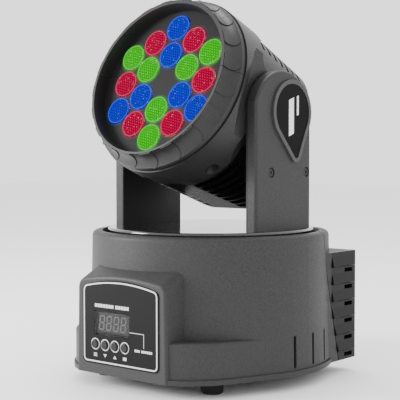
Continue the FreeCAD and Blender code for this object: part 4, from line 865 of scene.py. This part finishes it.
class Badges(bpy.types.Operator):
    """Make the drop-shaped badges on the arms"""
    bl_idname = "movinglight.badges"
    bl_label = "Badges"

    def execute(self, context):
        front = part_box("arm_badges")[1][0]
        cover("arm_badges", moulded("badge_rim", (0.045, 0.045, 0.047), 0.34, 0.25))
        black = moulded("badge_black", (0.0015, 0.0015, 0.0016), 0.55, 0.1, shine=0.08)
        # painted highlight: a thin grey ring in the print finish stands for light caught on the
        # inner edge of the badge rim
        line = printed("badge_highlight", (0.22, 0.22, 0.22))
        mark = printed("badge_mark", (0.85, 0.85, 0.85))
        for side, sign in (("right", 1), ("left", -1)):
            x = sign * (front - BADGE_SUNK)
            self.lay("badge_face_" + side, self.drop(x, 3.25 * MM), sign * BADGE_FACE_T, black)
            # the painted highlight ring, laid just inside the badge outline
            outline = self.drop(sign * (front - 0.02 * MM), 2.5 * MM)
            hoop(outline, outline.faces[:][0], 0.42 * MM)
            self.lay("badge_line_" + side, outline, -sign * 0.1 * MM, line)
            bars = self.emblem(x + sign * BADGE_FACE_T)
            self.lay("badge_mark_" + side, bars, sign * 0.08 * MM, mark)
        return {"FINISHED"}

    def lay(self, name, shape, depth, finish):
        """Thicken a flat shape along X and fix it to the yoke."""
        thicken(shape, list(shape.faces), (depth, 0, 0))
        piece(name, shape, finish, "yoke")

    def drop(self, x, inset):
        """A wide round top that narrows to a rounded tip."""
        top_y, top_z, top_r = BADGE_TOP
        tip_y, tip_z, tip_r = BADGE_TIP
        lean = math.asin((top_r - tip_r) / (top_z - tip_z))
        top_r, tip_r = top_r - inset, tip_r - inset
        points = []
        for k in range(41):
            a = -lean + (math.pi + 2 * lean) * k / 40
            points.append((top_y + top_r * math.cos(a), top_z + top_r * math.sin(a)))
        for k in range(13):
            a = math.pi + lean + (math.pi - 2 * lean) * k / 12
            points.append((tip_y + tip_r * math.cos(a), tip_z + tip_r * math.sin(a)))
        shape = bmesh.new()
        shape.faces.new([shape.verts.new((x, y, z)) for y, z in points])
        return shape

    def emblem(self, x):
        """Two plain slanted bars, one long and one short."""
        shape = bmesh.new()
        for y, z, length, width in BADGE_BARS:
            low, high = z * MM, (z + length) * MM
            left, right = (y - width / 2) * MM, (y + width / 2) * MM
            slant = 0.35 * width * MM
            corners = [(left, low), (right, low + slant), (right, high + slant), (left, high)]
            shape.faces.new([shape.verts.new((x, *corner)) for corner in corners])
        return shape


class Feet(bpy.types.Operator):
    """Make the ribbed rubber feet"""
    bl_idname = "movinglight.feet"
    bl_label = "Feet"

    def execute(self, context):
        low, high = (Vector(c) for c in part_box("rubber_feet"))
        r = FOOT_R
        height = high.z
        hole = 2.2 * MM
        outline = [(hole, height), (r - 0.3 * MM, height), (r, height - 0.4 * MM)]
        for k in range(FOOT_RIBS):
            z = height - (1.6 + 1.5 * k) * MM
            wide = r - (height - z) * 0.15
            outline += [(wide, z + 0.45 * MM), (wide - 0.35 * MM, z + 0.25 * MM),
                        (wide - 0.35 * MM, z - 0.05 * MM), (wide - 0.05 * MM, z - 0.25 * MM)]
        outline += [(7.6 * MM, 0.8 * MM), (7.0 * MM, 0.0), (4.9 * MM, 0.0), (4.6 * MM, 0.3 * MM),
                    (4.6 * MM, 4.0 * MM), (hole, 4.0 * MM), (hole, height)]
        one = bmesh.new()
        turned(one, outline, 48)
        smooth(one, 40)
        shape = bmesh.new()
        for x in (low.x + r, high.x - r):
            for y in (low.y + r, high.y - r):
                stamp(shape, one, Matrix.Translation((x, y, 0)))
        one.free()
        rubber = rubbery("foot_rubber", (0.010, 0.010, 0.010))
        piece("ribbed_feet", shape, rubber, "base", ["rubber_feet"])
        return {"FINISHED"}


STEPS = (Stage, Casings, Workings, Lenses, PanelPrint, Display, Badges, Feet)


class LightPanel(bpy.types.Panel):
    """Lists the steps and the settings"""
    bl_idname = "VIEW3D_PT_movinglight"
    bl_label = "Moving Head Light"
    bl_space_type = "VIEW_3D"
    bl_region_type = "UI"
    bl_category = "Light"

    def draw(self, context):
        for settings in (context.scene.light_sizes, context.scene.light_colours):
            for name in settings.bl_rna.properties.keys():
                if name not in ("rna_type", "name"):
                    self.layout.prop(settings, name)
        for step in STEPS:
            self.layout.operator(step.bl_idname)


CLASSES = (LightSizes, LightColours) + STEPS + (LightPanel,)


def register():
    for each in CLASSES:
        bpy.utils.register_class(each)
    bpy.types.Scene.light_sizes = PointerProperty(type=LightSizes)
    bpy.types.Scene.light_colours = PointerProperty(type=LightColours)


def unregister():
    del bpy.types.Scene.light_colours
    del bpy.types.Scene.light_sizes
    for each in reversed(CLASSES):
        bpy.utils.unregister_class(each)


def main():
    register()
    for step in STEPS:
        group, name = step.bl_idname.split(".")
        getattr(getattr(bpy.ops, group), name)()


if __name__ == "__main__":
    main()
